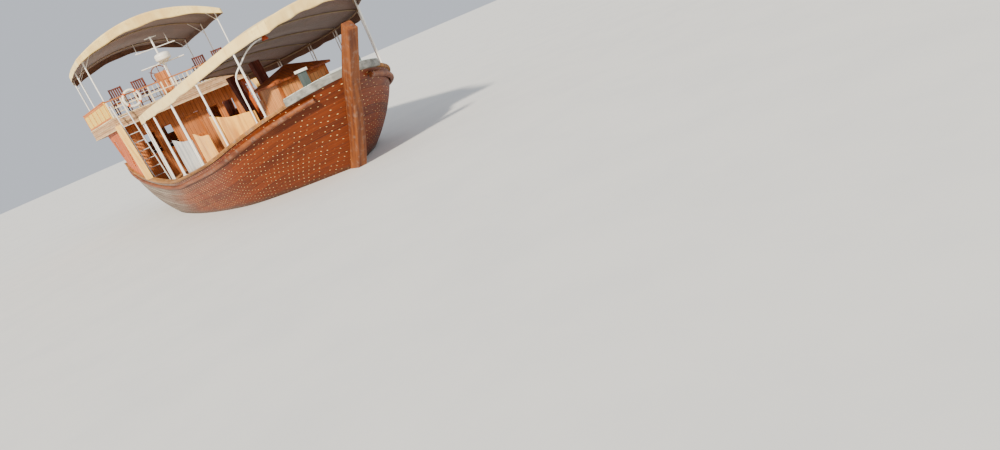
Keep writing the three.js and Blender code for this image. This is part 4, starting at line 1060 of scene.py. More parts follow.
@dataclass
class HullForm:
    """The lines of the hull. A station's side rises from the keel line to the rail."""

    stations: Table = (
        # rail x, keel x, half beam, rail z, keel z, turn, swell, rake
        (-8.0, -6.8, 2.35, 2.17, -0.25, 3.0, 0.75, 1.0),
        (-6.4, -5.6, 2.6, 1.9, -0.62, 2.6, 0.76, 1.0),
        (-4.5, -4.1, 2.76, 1.61, -0.96, 2.8, 0.7, 1.0),
        (-2.3, -2.2, 2.81, 1.33, -1.18, 3.0, 0.62, 1.0),
        (0.0, -0.4, 2.83, 1.21, -1.29, 3.1, 0.6, 0.9),
        (1.9, 0.9, 2.825, 1.32, -1.32, 3.0, 0.62, 0.8),
        (3.8, 2.1, 2.79, 1.47, -1.335, 2.6, 0.7, 0.7),
        (5.3, 3.0, 2.72, 1.65, -1.34, 2.2, 0.8, 0.65),
        (6.4, 3.6, 2.45, 1.86, -1.345, 1.8, 0.9, 0.62),
        (7.3, 4.08, 1.92, 2.07, -1.345, 1.5, 1.0, 0.6),
        (8.0, 4.4, 1.257, 2.23, -1.345, 1.3, 1.1, 0.6),
        (8.5, 4.56, 0.62, 2.32, -1.345, 1.15, 1.15, 0.6),
        (8.75, 4.64, 0.112, 2.36, -1.345, 1.0, 1.0, 0.6),
    )
    keel_half: float = 0.11
    bulwark: float = 0.1
    bulwark_height: float = 0.62
    well: Pair = (-7.88, 8.15)
    inner_half: float = 0.004  # least half-breadth inside the bulwarks
    sharpest: float = 2.4  # limit of an outset's growth where the rail runs inwards

    def __post_init__(self) -> None:
        """Samples the rail once."""
        self.table = np.array(self.stations)
        self.last = len(self.table) - 1
        self.dense = np.linspace(0, self.last, 1201)
        columns = self.columns(self.dense)
        self.rail_x, self.rail_beam, self.rail_z = columns[:, 0], columns[:, 2], columns[:, 3]

    def columns(self, at: Array) -> Array:
        """The table's numbers between stations, by a cubic with slopes from the neighbours.

        Args:
            at: station numbers.

        Returns:
            A row for each of them.
        """
        i = np.clip(np.floor(at).astype(int), 0, self.last - 1)
        t = (at - i)[:, None]
        a, b = self.table[np.clip(i - 1, 0, self.last)], self.table[i]
        c, d = self.table[i + 1], self.table[np.clip(i + 2, 0, self.last)]
        return hermite(b, c, (c - a) / 2, (d - b) / 2, t)

    def station_at(self, x: Array | float) -> Array:
        """The station number whose rail is at x."""
        return np.interp(x, self.rail_x, self.dense)

    def beam(self, x: Array | float) -> Array:
        """Half-breadth of the rail."""
        return np.interp(x, self.rail_x, self.rail_beam)

    def rail(self, x: Array | float) -> Array:
        """Height of the hull's top edge."""
        return np.interp(x, self.rail_x, self.rail_z)

    def deck(self, x: Array | float) -> Array:
        """Height of the deck planks."""
        return self.rail(x) - self.bulwark_height

    def point(self, at: Array, v: Array) -> Array:
        """Points of the port side, by station number and height fraction.

        The half-breadth grows as 1 - (1 - v) to the turn, all to the swell, and x moves from
        the keel's to the rail's as v to the rake.

        Args:
            at: station numbers, one a row.
            v: height fractions, one a column or a table of them.

        Returns:
            A table of points.
        """
        c = self.columns(at)[:, None, :]
        spread = (1 - (1 - v) ** c[..., 5]) ** c[..., 6]
        x = c[..., 1] + (c[..., 0] - c[..., 1]) * v ** c[..., 7]
        y = self.keel_half + (c[..., 2] - self.keel_half) * spread
        z = c[..., 4] + (c[..., 3] - c[..., 4]) * v
        return np.stack([x, y, z], -1)

    def _rows(self) -> tuple[Array, Array]:
        """The rows of the surface. Those at the well's ends come twice.

        Returns:
            Station numbers, and whether each row lies in the well.
        """
        ends = self.station_at(np.array(self.well))
        at = np.unique(np.concatenate([np.linspace(0, self.last, 150), ends]))
        rows = [(a, ends[0] < a < ends[1]) for a in at]
        rows += [(end, True) for end in ends]
        rows.sort(key=lambda r: (r[0], r[1] if r[0] <= ends[0] else not r[1]))
        return np.array([r[0] for r in rows]), np.array([r[1] for r in rows])

    def _inside(self, at: Array, in_well: Array) -> Array:
        """Points from the rail down the bulwark's inner face and in to the middle of the deck.

        Args:
            at: station numbers, one a row.
            in_well: whether each row lies in the well.

        Returns:
            A table of points.
        """
        c = self.columns(at)
        drop = np.array([0.0, 0.02, 0.3, self.bulwark_height + 0.02])
        rail, keel = c[:, 3:4], c[:, 4:5]
        high = np.where(in_well[:, None], rail - drop, rail)
        inner = self.point(at, np.clip((high - keel) / (rail - keel), 0, 1))
        inner[..., 1] = np.maximum(inner[..., 1] - self.bulwark, self.inner_half)
        inner[..., 2] = high
        centre = inner[:, -1:].copy()
        centre[..., 1] = 0.0
        return np.hstack([inner, centre])

    def surface(self, across: int = 36) -> Surface:
        """The planked shell with its well. A row is one station, from keel to rail and over the
        bulwark down to the deck, first on one side and then on the other.

        Args:
            across: how many points up the side.

        Returns:
            The surface, with planks counted in V and the bulwark's inside in slot 1.
        """
        at, in_well = self._rows()
        outer = self.point(at, np.linspace(0, 1, across) ** 1.5)
        inside = self._inside(at, in_well)
        climb = np.cumsum(np.linalg.norm(np.diff(outer, axis=1), axis=2), 1)
        girth = np.hstack([np.zeros((len(at), 1)), climb])
        plank = (1 - girth / girth[:, -1:]) * VARNISH.planks
        width = np.broadcast_to(girth[:, -1:] / VARNISH.planks, girth.shape)
        half = np.hstack([outer, inside])
        points = np.hstack([half * np.array([1.0, -1.0, 1.0]), half[:, ::-1]])
        count, cols = half.shape[1], points.shape[1]
        faces = grid_quads(len(at), cols, True)
        column = np.tile(np.arange(cols), len(at) - 1)
        skin = (column < across - 1) | (column >= cols - across) | (column == cols - 1)
        caps = []
        for base, flip in ((0, False), ((len(at) - 1) * cols, True)):
            for i in range(count - 1):
                quad = [base + i, base + cols - 1 - i, base + cols - 2 - i, base + i + 1]
                caps.append(quad[::-1] if flip else quad)
        fill = np.zeros((len(at), inside.shape[1]))
        planks = np.hstack([plank, fill]), np.hstack([width, fill + 0.2])
        u, v, widths = (np.hstack([part, part[:, ::-1]]) for part in (half[..., 0], *planks))
        slots = np.where(skin, 0, 1).tolist() + [0] * len(caps)
        uv = np.stack([u, v], -1).reshape(-1, 2)
        made = Surface(points.reshape(-1, 3), faces.tolist() + caps, slots, uv)
        made.extra["plank_width"] = widths.ravel()
        return made.outward()

    def outset(self, x: Array, by: float) -> Array:
        """Half-breadth moved outwards, square to the rail."""
        slope = (self.beam(x + 0.03) - self.beam(x - 0.03)) / 0.06
        return self.beam(x) + by * np.minimum(np.hypot(1, slope), self.sharpest)

    def rail_line(self, ends: Point, outset: float, above: float, count: int) -> Array:
        """Points beside the port rail, moved outwards and up.

        Args:
            ends: x of the aft end and of the fore end.
            outset: how far outwards, square to the rail.
            above: how far above the hull's top edge.
            count: how many points.

        Returns:
            The points.
        """
        x = np.linspace(*ends, count)
        return np.stack([x, self.outset(x, outset), self.rail(x) + above], 1)


HULL = HullForm()


@dataclass
class Shell:
    """Planking, keel, stem, rails and rudder."""

    cap_out: float = 0.075
    cap_in: float = -0.13
    cap_thick: float = 0.085
    cap_ends: Pair = (-8.085, 7.947)
    transom_x: float = -7.975
    transom_half: float = 2.25
    transom_width: float = 0.2
    rub_low: float = -0.235
    rub_high: float = -0.105
    rub_ends: Pair = (-7.955, 8.33)
    rub_depth: float = 0.08

    def build(self) -> None:
        """Makes and dresses the hull's pieces."""
        solids = ["hull", "transom_board", "bulwark_starboard", "bulwark_port", "stem_block"]
        add_piece("hull_planking", HULL.surface(), [VARNISH, BULWARK_BOARDS], solids)
        self._cap()
        self._strake()
        dress("keel_and_sternpost", KEEL_DARK, 0.008)
        dress("stem_post", STEM_ORANGE, 0.02)
        dress("main_deck", DECK_BOARDS)
        dress("rudder", RUDDER_WOOD, 0.006)

    def _cap(self) -> None:
        """The cap rail is a stepped moulding along each rail, and a plain plank at the stern."""
        width, middle = self.cap_out - self.cap_in, (self.cap_out + self.cap_in) / 2
        thick = self.cap_thick
        moulding = self._moulding(width, thick)
        path = HULL.rail_line(self.cap_ends, middle, thick / 2 + LIFT, 150)
        cap = [sweep(path * [1, s.value, 1], moulding * [s.value, 1], ATHWART) for s in Side]
        z = HULL.rail(self.transom_x) + thick / 2 + 0.001
        ends = [(self.transom_x, y, z) for y in (-self.transom_half, self.transom_half)]
        cap.append(sweep(line(*ends, 12), rounded(self.transom_width, thick, 0.012), ALONG))
        add_piece("cap_rail_moulding", merged(cap), [RAIL_TAN], ["cap_rail"])

    def _strake(self) -> None:
        """The rubbing strake is half round, a little flatter than a circle."""
        half = (self.rub_high - self.rub_low) / 2
        angle = np.linspace(-pi / 2, pi / 2, 11)
        bulge = np.stack([self.rub_depth * np.cos(angle) ** 0.6, half * np.sin(angle)], 1)
        profile = np.vstack([bulge, [[-0.05, half], [-0.05, -half]]])
        path = HULL.rail_line(self.rub_ends, -0.005, (self.rub_low + self.rub_high) / 2, 150)
        sides = [sweep(path * [1, s.value, 1], profile * [s.value, 1], ATHWART) for s in Side]
        name, finish = "rub_strake_half_round", [STRAKE_BROWN]
        add_piece(name, merged(sides), finish, ["rub_strake"])

    @staticmethod
    def _moulding(width: float, thick: float) -> Array:
        """The cap rail's section: a plank on two stepped fillets on the outer side.

        Args:
            width: its width.
            thick: its thickness.

        Returns:
            The profile.
        """
        w, t = width / 2, thick / 2
        return np.array([
            [w - 0.03, -t], [w - 0.03, -t + 0.02], [w - 0.012, -t + 0.024],
            [w - 0.012, -t + 0.042], [w - 0.002, -t + 0.047], [w, -t + 0.055],
            [w, t - 0.012], [w - 0.012, t], [-w + 0.012, t], [-w, t - 0.012], [-w, -t],
        ])


# Cloth and its frames

CLOTH = 0.006  # thickness of a cloth with its hems


def through(table: Sequence[Point], x: Array | float) -> Array:
    """Rows of numbers between a table's rows, by a cubic with slopes from the neighbours.

    Args:
        table: rows that start with x, in rising order.
        x: where to read it.

    Returns:
        The other columns, a row for each x.
    """
    rows = np.asarray(table, float)
    x = np.atleast_1d(x)
    slope = np.gradient(rows[:, 1:], rows[:, 0], axis=0)
    i = np.clip(np.searchsorted(rows[:, 0], x) - 1, 0, len(rows) - 2)
    span = (rows[i + 1, 0] - rows[i, 0])[:, None]
    t = (x - rows[i, 0])[:, None] / span
    return hermite(rows[i, 1:], rows[i + 1, 1:], slope[i] * span, slope[i + 1] * span, t)


def cloth_area(grid: Array) -> float:
    """The area of a grid of points, as two triangles a face."""
    a, b, c, d = grid[:-1, :-1], grid[:-1, 1:], grid[1:, 1:], grid[1:, :-1]
    return float(sum(np.linalg.norm(np.cross(p - a, c - a), axis=-1) for p in (b, d)).sum() / 2)


def add_cloth(
    name: str, grid: Array, finishes: Sequence[Finish],
    node: str = "",
) -> None:
    """Makes a sheet of cloth from a grid of points whose faces point to its outer side.

    Args:
        name: the piece's name.
        grid: the points, by row and column.
        finishes: the outer finish and the inner one.
        node: the solid that it stands for.
    """
    lengths = (np.linalg.norm(np.diff(grid, axis=k), axis=-1).sum(k).max() for k in (1, 0))
    surface = Surface(grid.reshape(-1, 3), grid_quads(*grid.shape[:2]).tolist())
    made = add_piece(name, surface, finishes, [node] if node else [], smooth=60)
    wall = made.modifiers.new("cloth", "SOLIDIFY")
    wall.thickness = CLOTH
    wall.offset = 0.0
    wall.material_offset = 1
    flat, area = tuple(round(float(way), 3) for way in lengths), round(cloth_area(grid), 3)


@dataclass(frozen=True)
class Awning:
    """Canvas over arches of pipe. At x, its underside is the edge's height plus the rise times
    1 - u squared, where u runs from -1 at starboard to 1 at port."""

    name: str
    node: str
    edge: Table  # x, half width, height of the edge, rise
    valance: float
    portals: tuple[float, ...]
    sag: float
    seed: int
    across: int = 56
    long_bay: float = 2.2  # arches this far apart let the canvas sag fully

    def under(self, x: Array, u: Array) -> Array:
        """Points of the underside.

        Args:
            x: places along.
            u: places across, from -1 to 1.

        Returns:
            A row for each x and a column for each u.
        """
        rows = through(self.edge, x)
        y = rows[:, :1] * u[None]
        z = rows[:, 1:2] + rows[:, 2:] * (1 - u[None] ** 2)
        return np.stack(np.broadcast_arrays(np.atleast_1d(x)[:, None], y, z), -1)

    def half(self, x: float) -> float:
        """Half the width at x."""
        return float(through(self.edge, x)[0][0])

    def height(self, x: float, y: float) -> float:
        """Height of the underside at a point."""
        half, edge_z, rise = through(self.edge, x)[0]
        return float(edge_z + rise * (1 - (y / half) ** 2))

    def slack(self, x: Array) -> Array:
        """How much of its full sag the canvas has.

        Args:
            x: places along.

        Returns:
            0 at an arch, and up to 1 halfway between two.
        """
        marks = np.unique(np.concatenate([[self.edge[0][0]], self.portals, [self.edge[-1][0]]]))
        i = np.clip(np.searchsorted(marks, x) - 1, 0, len(marks) - 2)
        bay = marks[i + 1] - marks[i]
        t = (x - marks[i]) / bay
        return np.sin(pi * np.clip(t, 0, 1)) ** 2 * np.minimum(bay / self.long_bay, 1.0)

    def build(self, finishes: Sequence[Finish], rests: Sequence[str]) -> None:
        """Makes the canvas: the crown sags between arches, and the valances hang in soft waves.

        Args:
            finishes: the outer finish and the inner one.
            rests: the arches that carry it; not used.
        """
        ends = self.edge[0][0], self.edge[-1][0]
        x = np.unique(np.concatenate([np.linspace(*ends, 96), self.portals]))
        phase = np.random.default_rng(self.seed).uniform(0, 6.28, 6)
        crown = self._crown(x, phase)
        starboard = self._valance(x, crown[:, :1], -1.0, phase)[:, ::-1]
        port = self._valance(x, crown[:, -1:], 1.0, phase)
        grid = np.hstack([starboard, crown, port])[:, ::-1]
        add_cloth(self.name, grid, finishes, self.node)

    def _crown(self, x: Array, phase: Array) -> Array:
        """The canvas from edge to edge: a sag between arches, and ripples from crossed sines.

        Args:
            x: the rows' places.
            phase: shifts of the sines.

        Returns:
            A table of points, with its columns closer at the edges.
        """
        even = np.linspace(-1, 1, self.across)
        u = np.sin(np.linspace(-pi / 2, pi / 2, self.across)) * 0.35 + even * 0.65
        crown, slack = self.under(x, u), self.slack(x)[:, None]
        crown[..., 2] += CLOTH - self.sag * slack * (1 - np.abs(u) ** 4)[None]
        ripple = sum(
            np.sin((2.1 + 1.3 * k) * x[:, None] + (3 + 2 * k) * u[None] + phase[k]) / (k + 1)
            for k in range(4)
        )
        crown[..., 2] += 0.008 * ripple * slack * (1 - u**6)[None]
        return crown

    def _valance(self, x: Array, edge: Array, sign: float, phase: Array) -> Array:
        """The strip that hangs from one edge. It waves more towards its foot.

        Args:
            x: the rows' places.
            edge: the crown's points at that edge.
            sign: the side of the boat.
            phase: shifts of the sines.

        Returns:
            A table of points, from the edge downwards.
        """
        drop = np.linspace(0, 1, 7)[None, 1:]
        foot = np.repeat(edge, drop.shape[1], axis=1)
        wave = np.sin(x * 8.2 + phase[4] + sign) * 0.6 + np.sin(x * 13.1 + phase[5]) * 0.4
        foot[..., 1] += sign * (0.004 + 0.013 * wave[:, None] * drop**1.5)
        depth = self.valance * (1 - 0.1 * self.slack(x) - 0.03 * np.sin(x * 5.3 + phase[0]))
        foot[..., 2] -= depth[:, None] * drop
        return foot

    def flap(self, name: str, fore: bool, hang: Pair) -> None:
        """A valance across one end, hung from the last arch in soft waves.

        Args:
            name: the piece's name.
            fore: whether it hangs at the fore end.
            hang: how far it hangs at its corners, and how much further in the middle.
        """
        x, outward = (self.edge[-1][0], 1.0) if fore else (self.edge[0][0], -1.0)
        u, v = np.linspace(-1, 1, 72), np.linspace(0, 1, 8)[:, None]
        top = self.under(np.array([x - outward * 0.001]), u)[0]
        wave = np.sin(u * 21.0 + 0.7) * 0.6 + np.sin(u * 33.0) * 0.4
        points = np.repeat(top[None], len(v), axis=0)
        points[..., 0] += outward * (0.012 + 0.012 * wave[None] * v)
        drop = (hang[0] + hang[1] * (1 - u**2)) * (1 - 0.05 * np.sin(u * 13.0))
        points[..., 2] -= v * drop[None] - CLOTH
        grid = points[:, ::-1] if fore else points
        # the inner side takes the painted shade of the awning's underside
        add_cloth(name, grid, (VALANCE_CREAM, AWNING_UNDERSIDE_SHADE))

    def arch(self, x: float, inset: float, radius: float, count: int = 48) -> Array:
        """The line of a pipe under the canvas at x.

        Args:
            x: the arch's place.
            inset: how far its ends are from the canvas edges.
            radius: the pipe's radius.
            count: how many points.

        Returns:
            The points.
        """
        half, _, rise = through(self.edge, x)[0]
        reach = (half - inset) / half
        u = np.linspace(-reach, reach, count)
        points = self.under(np.array([x]), u)[0]
        points[:, 2] -= (radius + 0.004) * np.hypot(1, 2 * rise * u / half)
        return points


LOWER = Awning(
    "lower_canvas", "lower_awning",
    (
        (-3.3, 2.13, 3.56, 0.43), (-3.15, 2.16, 3.558, 0.43), (-0.8, 2.62, 3.54, 0.43),
        (1.6, 2.85, 3.59, 0.43), (3.8, 2.815, 3.66, 0.42), (6.0, 2.61, 3.83, 0.37),
        (7.4, 1.88, 4.1, 0.29), (9.0, 1.42, 4.2, 0.17),
    ),
    0.27, (-3.15, -0.8, 1.6, 3.8, 6.0, 7.4), 0.05, seed=3,
)
UPPER = Awning(
    "upper_canvas", "upper_awning",
    (
        (-9.4, 2.35, 5.95, 0.5), (-8.9, 2.454, 5.99, 0.51), (-8.2, 2.6, 6.05, 0.52),
        (-6.7, 2.74, 6.12, 0.6), (-4.64, 2.795, 6.19, 0.712), (-4.35, 2.8, 6.2, 0.73),
    ),
    0.2, (-8.9, -6.7, -4.64), 0.04, seed=8,
)


def flange(centre: Point, radius: float = 0.062, thick: float = 0.012) -> Surface:
    """A round foot plate with four bolt heads.

    Args:
        centre: the middle of its underside.
        radius: its radius.
        thick: its thickness.

    Returns:
        The surface.
    """
    edge, rim = 0.003, radius - 0.004
    plate = [(0, 0), (radius - edge, 0), (radius, edge), (radius, thick - edge), (rim, thick)]
    bolt = [(0, 0), (0.009, 0), (0.009, 0.005), (0.006, 0.008), (0, 0.008)]
    parts = [revolve([*plate, (0, thick)], centre, Axis.Z, 24)]
    for k in range(4):
        angle = pi / 4 + k * pi / 2
        away = 0.7 * radius
        at = np.array([away * cos(angle), away * sin(angle), thick - 0.001])
        parts.append(revolve(bolt, at + centre, Axis.Z, 6))
    return merged(parts)


@dataclass
class Portals:
    """Posts and arches of pipe under an awning."""

    awning: Awning
    piece: str
    solid: str
    post: float
    inset: float  # from the canvas edge to an arch's end
    arch: float = 0.022

    def build(self) -> None:
        """Makes a portal at each arch."""
        for number, x in enumerate(self.awning.portals, 1):
            bow = self.awning.arch(x, self._inset(x), self.arch)
            parts = [pipe(bow, self.arch, 14, ALONG).with_slot(1)]
            for side in Side:
                parts += self._post(x, side)
            name, solid = self.piece.format(number), self.solid.format(number)
            add_piece(name, merged(parts), [POST_WHITE, PIPE_TAN], [solid])

    def names(self) -> list[str]:
        """The pieces' names."""
        return [self.piece.format(n) for n in range(1, len(self.awning.portals) + 1)]

    def _inset(self, x: float) -> float:
        """How far an arch's ends are from the canvas edges."""
        return self.inset

    def _post(self, x: float, side: Side) -> list[Surface]:
        """What stands at one side of an arch."""
        raise NotImplementedError


@dataclass
class LowerFrame(Portals):
    """The lower awning's posts and arches, with its edge pipes and fore bow."""

    awning: Awning = LOWER
    piece: str = "portal_{}_pipes"
    solid: str = "awning_portal_{}"
    post: float = 0.027
    inset: float = 0.035
    slim: float = 0.017
    paired: tuple[float, ...] = (-0.8, 1.6, 3.8)
    twin: float = -0.17  # from a post to its slim twin, along X

    def build(self) -> None:
        """Makes the portals, then the pipes along the edges and the bow at the fore end."""
        super().build()
        for side in Side:
            surface = pipe(curve(self._edge_points(side), 90), self.arch, 12, ATHWART)
            name, solid = f"edge_pipe_{side.label}", f"awning_edge_{side.label}"
            add_piece(name, surface, [PIPE_TAN], [solid])
        end = self._edge_points(Side.PORT)[-1]
        bow = LOWER.arch(end[0], LOWER.edge[-1][1] - end[1] - 0.04, self.arch)
        legs = [[end[0], sign * bow[-1][1], end[2] - 0.04] for sign in (-1, 1)]
        surface = pipe(np.vstack([legs[0], bow, legs[1]]), self.arch, 14, ALONG)
        add_piece("fore_bow_pipe", surface, [PIPE_TAN], ["awning_front_bow"])

    def _post(self, x: float, side: Side) -> list[Surface]:
        """A post from the cap rail or the deck up to the arch, and its slimmer twin.

        Args:
            x: the arch's place.
            side: the side.

        Returns:
            The posts with their flanges.
        """
        reach = LOWER.half(x) - self.post - 0.008
        beam, rail = float(HULL.beam(x)), float(HULL.rail(x))
        on_deck = reach < beam - 0.13 - self.post
        foot_y = reach if on_deck else min(reach, beam - 0.025)
        foot_z = rail - HULL.bulwark_height + 0.001 if on_deck else rail + CAP_TOP
        top_z = LOWER.height(x, reach + self.post) - 0.012
        foot = np.array([x, side.value * foot_y, foot_z])
        top = np.array([x, side.value * reach, top_z])
        parts = [pipe(line(foot, top, 3), self.post, 16, ALONG), flange(foot)]
        if x in self.paired:
            shift = np.array([self.twin, 0.0, 0.0])
            low, high = foot + shift, top + shift
            way = line(low + [0, 0, 0.004], high - [0, side.value * 0.02, 0.045], 3)
            parts += [pipe(way, self.slim, 12, ALONG), flange(low, 0.042)]
        return parts

    def _edge_points(self, side: Side) -> Array:
        """The edge pipe's line inside the posts, below the canvas edge.

        Args:
            side: the side.

        Returns:
            The points.
        """
        rows = np.array(LOWER.edge)
        x = np.clip(rows[:, 0], rows[0, 0] + 0.12, rows[-1, 0] - 0.03)
        y = side.value * (rows[:, 1] - self.inset - self.post - self.arch + 0.005)
        return np.stack([x, y, rows[:, 2] - 0.06], 1)


@dataclass
class UpperFrame(Portals):
    """The upper awning's three portals, with knee braces."""

    awning: Awning = UPPER
    piece: str = "upper_portal_{}_pipes"
    solid: str = "upper_portal_{}"
    post: float = 0.024
    inset: float = 0.033
    limit: float = 2.613  # greatest distance of a post from the centreline
    knee: float = 0.012

    def _inset(self, x: float) -> float:
        """Posts stay inside the deck's edge, so an arch may end further in."""
        half = UPPER.half(x)
        return half - min(half - self.inset, self.limit)

    def _post(self, x: float, side: Side) -> list[Surface]:
        """A post on a flange, and a thin brace from it up to the arch.

        Args:
            x: the arch's place.
            side: the side.

        Returns:
            The post, its flange and the brace.
        """
        reach = min(UPPER.half(x) - self.inset, self.limit)
        y, inward = side.value * reach, side.value * (reach - 0.5)
        top_z = UPPER.height(x, reach + 0.027) - 0.012
        foot = np.array([x, y, FLOOR + 0.001])
        brace = line([x, y, top_z - 0.42], [x, inward, UPPER.height(x, inward) - 0.045], 3)
        return [
            pipe(line(foot, [x, y, top_z], 3), self.post, 16, ALONG), flange(foot),
            pipe(brace, self.knee, 10, ALONG),
        ]


@dataclass
class Screen:
    """A canvas screen hung inside the starboard rail, with folds that deepen downwards."""

    name: str
    node: str
    ends: Pair  # aft and fore
    tops: Pair
    folds: float
    slot: str
    finish: Canvas
    inset: float = 0.105
    foot: float = 0.09

    def build(self) -> None:
        """The cloth's distance from its plane is a sum of sines along it, more at its foot."""
        rows, cols = 30, 90
        s, v = np.linspace(0, 1, cols)[None], np.linspace(0, 1, rows)[:, None]
        (aft, fore), (top_aft, top_fore) = self.ends, self.tops
        base = HULL.rail_line(self.ends, -self.inset, self.foot, cols)[None]
        top = top_aft + (top_fore - top_aft) * s - 0.05 * np.sin(pi * s) ** 2
        low, slow, quick = base[..., 2], self.folds * 6.28 * s, self.folds * 10.7 * s
        bend = np.sin(slow + 1.5 * v) * 0.6 + np.sin(quick + 2.0 - v) * 0.4
        x = aft + (fore - aft) * s + 0.01 * (1 - v) * np.sin(9 * s)
        y = -base[..., 1] - 0.012 * bend * (1.25 - v)
        grid = np.stack(np.broadcast_arrays(x, y, low + (top - low) * v), -1)
        finishes = [self.finish, self.finish]
        add_cloth(self.name, grid, finishes, self.node)


SCREENS = [Screen(*row) for row in (
    ("fore_tan_screen", "screen_tan_fore", (5.66, 7.14), (2.73, 2.45), 2.5, "canvas", SCREEN_TAN),
    ("aft_tan_screen", "screen_tan_aft", (3.96, 5.14), (2.46, 2.3), 2.0, "canvas", SCREEN_TAN),
    ("blue_screen", "screen_grey", (1.76, 3.64), (2.49, 2.32), 3.5, "canvas_grey", SCREEN_BLUE),
)]


# Deck gear, cabin and upper deck


@dataclass
class Foredeck:
    """The white top boards of the bow beam, the bitts' caps and the lamp on its pole."""

    boards_x: Pair = (7.965, 8.72)
    boards_out: float = 0.085
    boards_up: float = 0.19
    boards_thick: float = 0.014
    bitt_half: float = 0.09
    cap_half: float = 0.13
    cap_thick: float = 0.07
    lamp_x: float = 7.15
    shade_at: tuple[float, float, float] = (7.85, -1.12, 3.95)

    def build(self) -> None:
        """Makes the boards, the bitts and the lamp."""
        self._boards()
        for side in Side:
            self._bitt(side)
        self._lamp()

    def _boards(self) -> None:
        """Rows follow the rail's outline, like the beam below them."""
        x = np.linspace(*self.boards_x, 24)
        y, z = HULL.outset(x, self.boards_out), HULL.rail(x) + self.boards_up
        low, high = z + LIFT, z + self.boards_thick
        corners = ((-y, low), (-y, high), (y, high), (y, low))
        rows = np.stack([np.stack([x, across, up], 1) for across, up in corners], 1)
        ends = [[0, 1, 2, 3], [(len(x) - 1) * 4 + i for i in (3, 2, 1, 0)]]
        faces = grid_quads(len(x), 4, True).tolist() + ends
        surface = Surface(rows.reshape(-1, 3), faces).outward()
        add_piece("bow_beam_boards", surface, [PLATFORM_TOP], bevel=0.004)

    def _bitt(self, side: Side) -> None:
        """A dark square post with a white cap, at the CAD bitt's place.

        Args:
            side: the side.
        """
        solid = f"bitt_{side.label}"
        low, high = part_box(solid)
        x, y = (low[0] + high[0]) / 2, (low[1] + high[1]) / 2
        parts = []
        for half, foot, top in (
            (self.bitt_half, low[2], high[2] - self.cap_thick + 0.001),
            (self.cap_half, high[2] - self.cap_thick, high[2]),
        ):
            block = boxes([(x - half, x + half, y - half, y + half, foot, top)])
            parts.append(block.with_slot(len(parts)))
        name, finishes = f"{solid}_post_and_cap", [BITT_DARK, WHITE]
        add_piece(name, merged(parts), finishes, [solid], bevel=0.008)

    def _lamp(self) -> None:
        """The pole bends over the foredeck and carries a bell-shaped shade."""
        x, y = self.lamp_x, -(float(HULL.beam(self.lamp_x)) - 0.03)
        path = curve([
            [x, y, float(HULL.rail(x)) + CAP_TOP], [x, y, 2.6], [x, y, 3.0],
            [7.17, y + 0.04, 3.35], [7.26, -1.72, 3.6], [7.42, -1.52, 3.8], [7.62, -1.31, 3.92],
            self.shade_at,
        ], 70)
        pole = merged([pipe(path, 0.02, 14, (0.6, 0.8, 0)), flange(path[0], 0.05)])
        bell = [
            (0, 3.98), (0.03, 3.98), (0.045, 3.965), (0.07, 3.93), (0.085, 3.885), (0.085, 3.87),
            (0.078, 3.87), (0, 3.91),
        ]
        shade = revolve(bell, (*self.shade_at[:2], 0), Axis.Z).with_slot(1)
        lamp, finishes = merged([pole, shade]), [POST_WHITE, LAMP_RED]
        add_piece("lamp_on_pole", lamp, finishes, ["lamp_pole"])


@dataclass
class Mast:
    """A tapered pole with three thin crosstrees, whip aerials and the radome on its shelf."""

    x: float = -4.9
    top: float = 6.15
    cross_z: float = 5.12
    # half length, height, radius and sides
    crosstrees: tuple[tuple[float, float, float, int], ...] = (
        (0.85, 5.12, 0.025, 12), (0.78, 5.72, 0.018, 12), (0.23, 6.12, 0.014, 10),
    )
    whips: tuple[float, ...] = (-0.7, 0.55)
    radome_x: float = 0.045 + 0.292  # forward of the mast
    # radii and heights of the radome: a rounded edge, a seam round its middle, a shallow crown
    radome: Table = (
        (0, 0), (0.2, 0), (0.235, 0.004), (0.262, 0.018), (0.28, 0.042), (0.289, 0.075),
        (0.29, 0.118), (0.284, 0.121), (0.284, 0.127), (0.29, 0.13), (0.29, 0.18), (0.283, 0.215),
        (0.262, 0.245), (0.22, 0.27), (0.16, 0.288), (0.08, 0.297), (0, 0.3),
    )

    def build(self) -> None:
        """Makes the mast with its shelf and brackets, then the radome."""
        x, shelf = self.x, self.cross_z
        foot = (x, 0, FLOOR + 0.001)
        pole = line(foot, [x, 0, self.top], 6)
        parts = [sweep(pole, circle(0.045, 20), ALONG, np.linspace(1.0, 0.7, 6))]
        for half, z, radius, sides in self.crosstrees:
            parts.append(pipe(line([x, -half, z], [x, half, z], 3), radius, sides))
        parts.append(boxes([(x - 0.06, x + 0.33, -0.18, 0.18, shelf + 0.01, shelf + 0.05)]))
        for y in (-0.03, 0.03):
            way = line([x + 0.03, y, shelf - 0.3], [x + 0.28, y, shelf + 0.012], 3)
            parts.append(pipe(way, 0.011, 8))
        low, high = self.crosstrees[1][1], self.crosstrees[2][1]
        for y in self.whips:
            way, taper = line([x, y, low], [x, y, high], 4), np.array([1.3, 1, 0.8, 0.5])
            parts.append(sweep(way, circle(0.006, 8), ALONG, taper))
        mast = merged([*parts, flange(foot, 0.1, 0.016)])
        add_piece("mast_and_crosstrees", mast, [POST_WHITE], ["antenna_mast"])
        dome = revolve(self.radome, (x + self.radome_x, 0, shelf + 0.0503), Axis.Z, 64)
        add_piece("radome_drum", dome, [RADOME_WHITE], ["radome"], smooth=30)


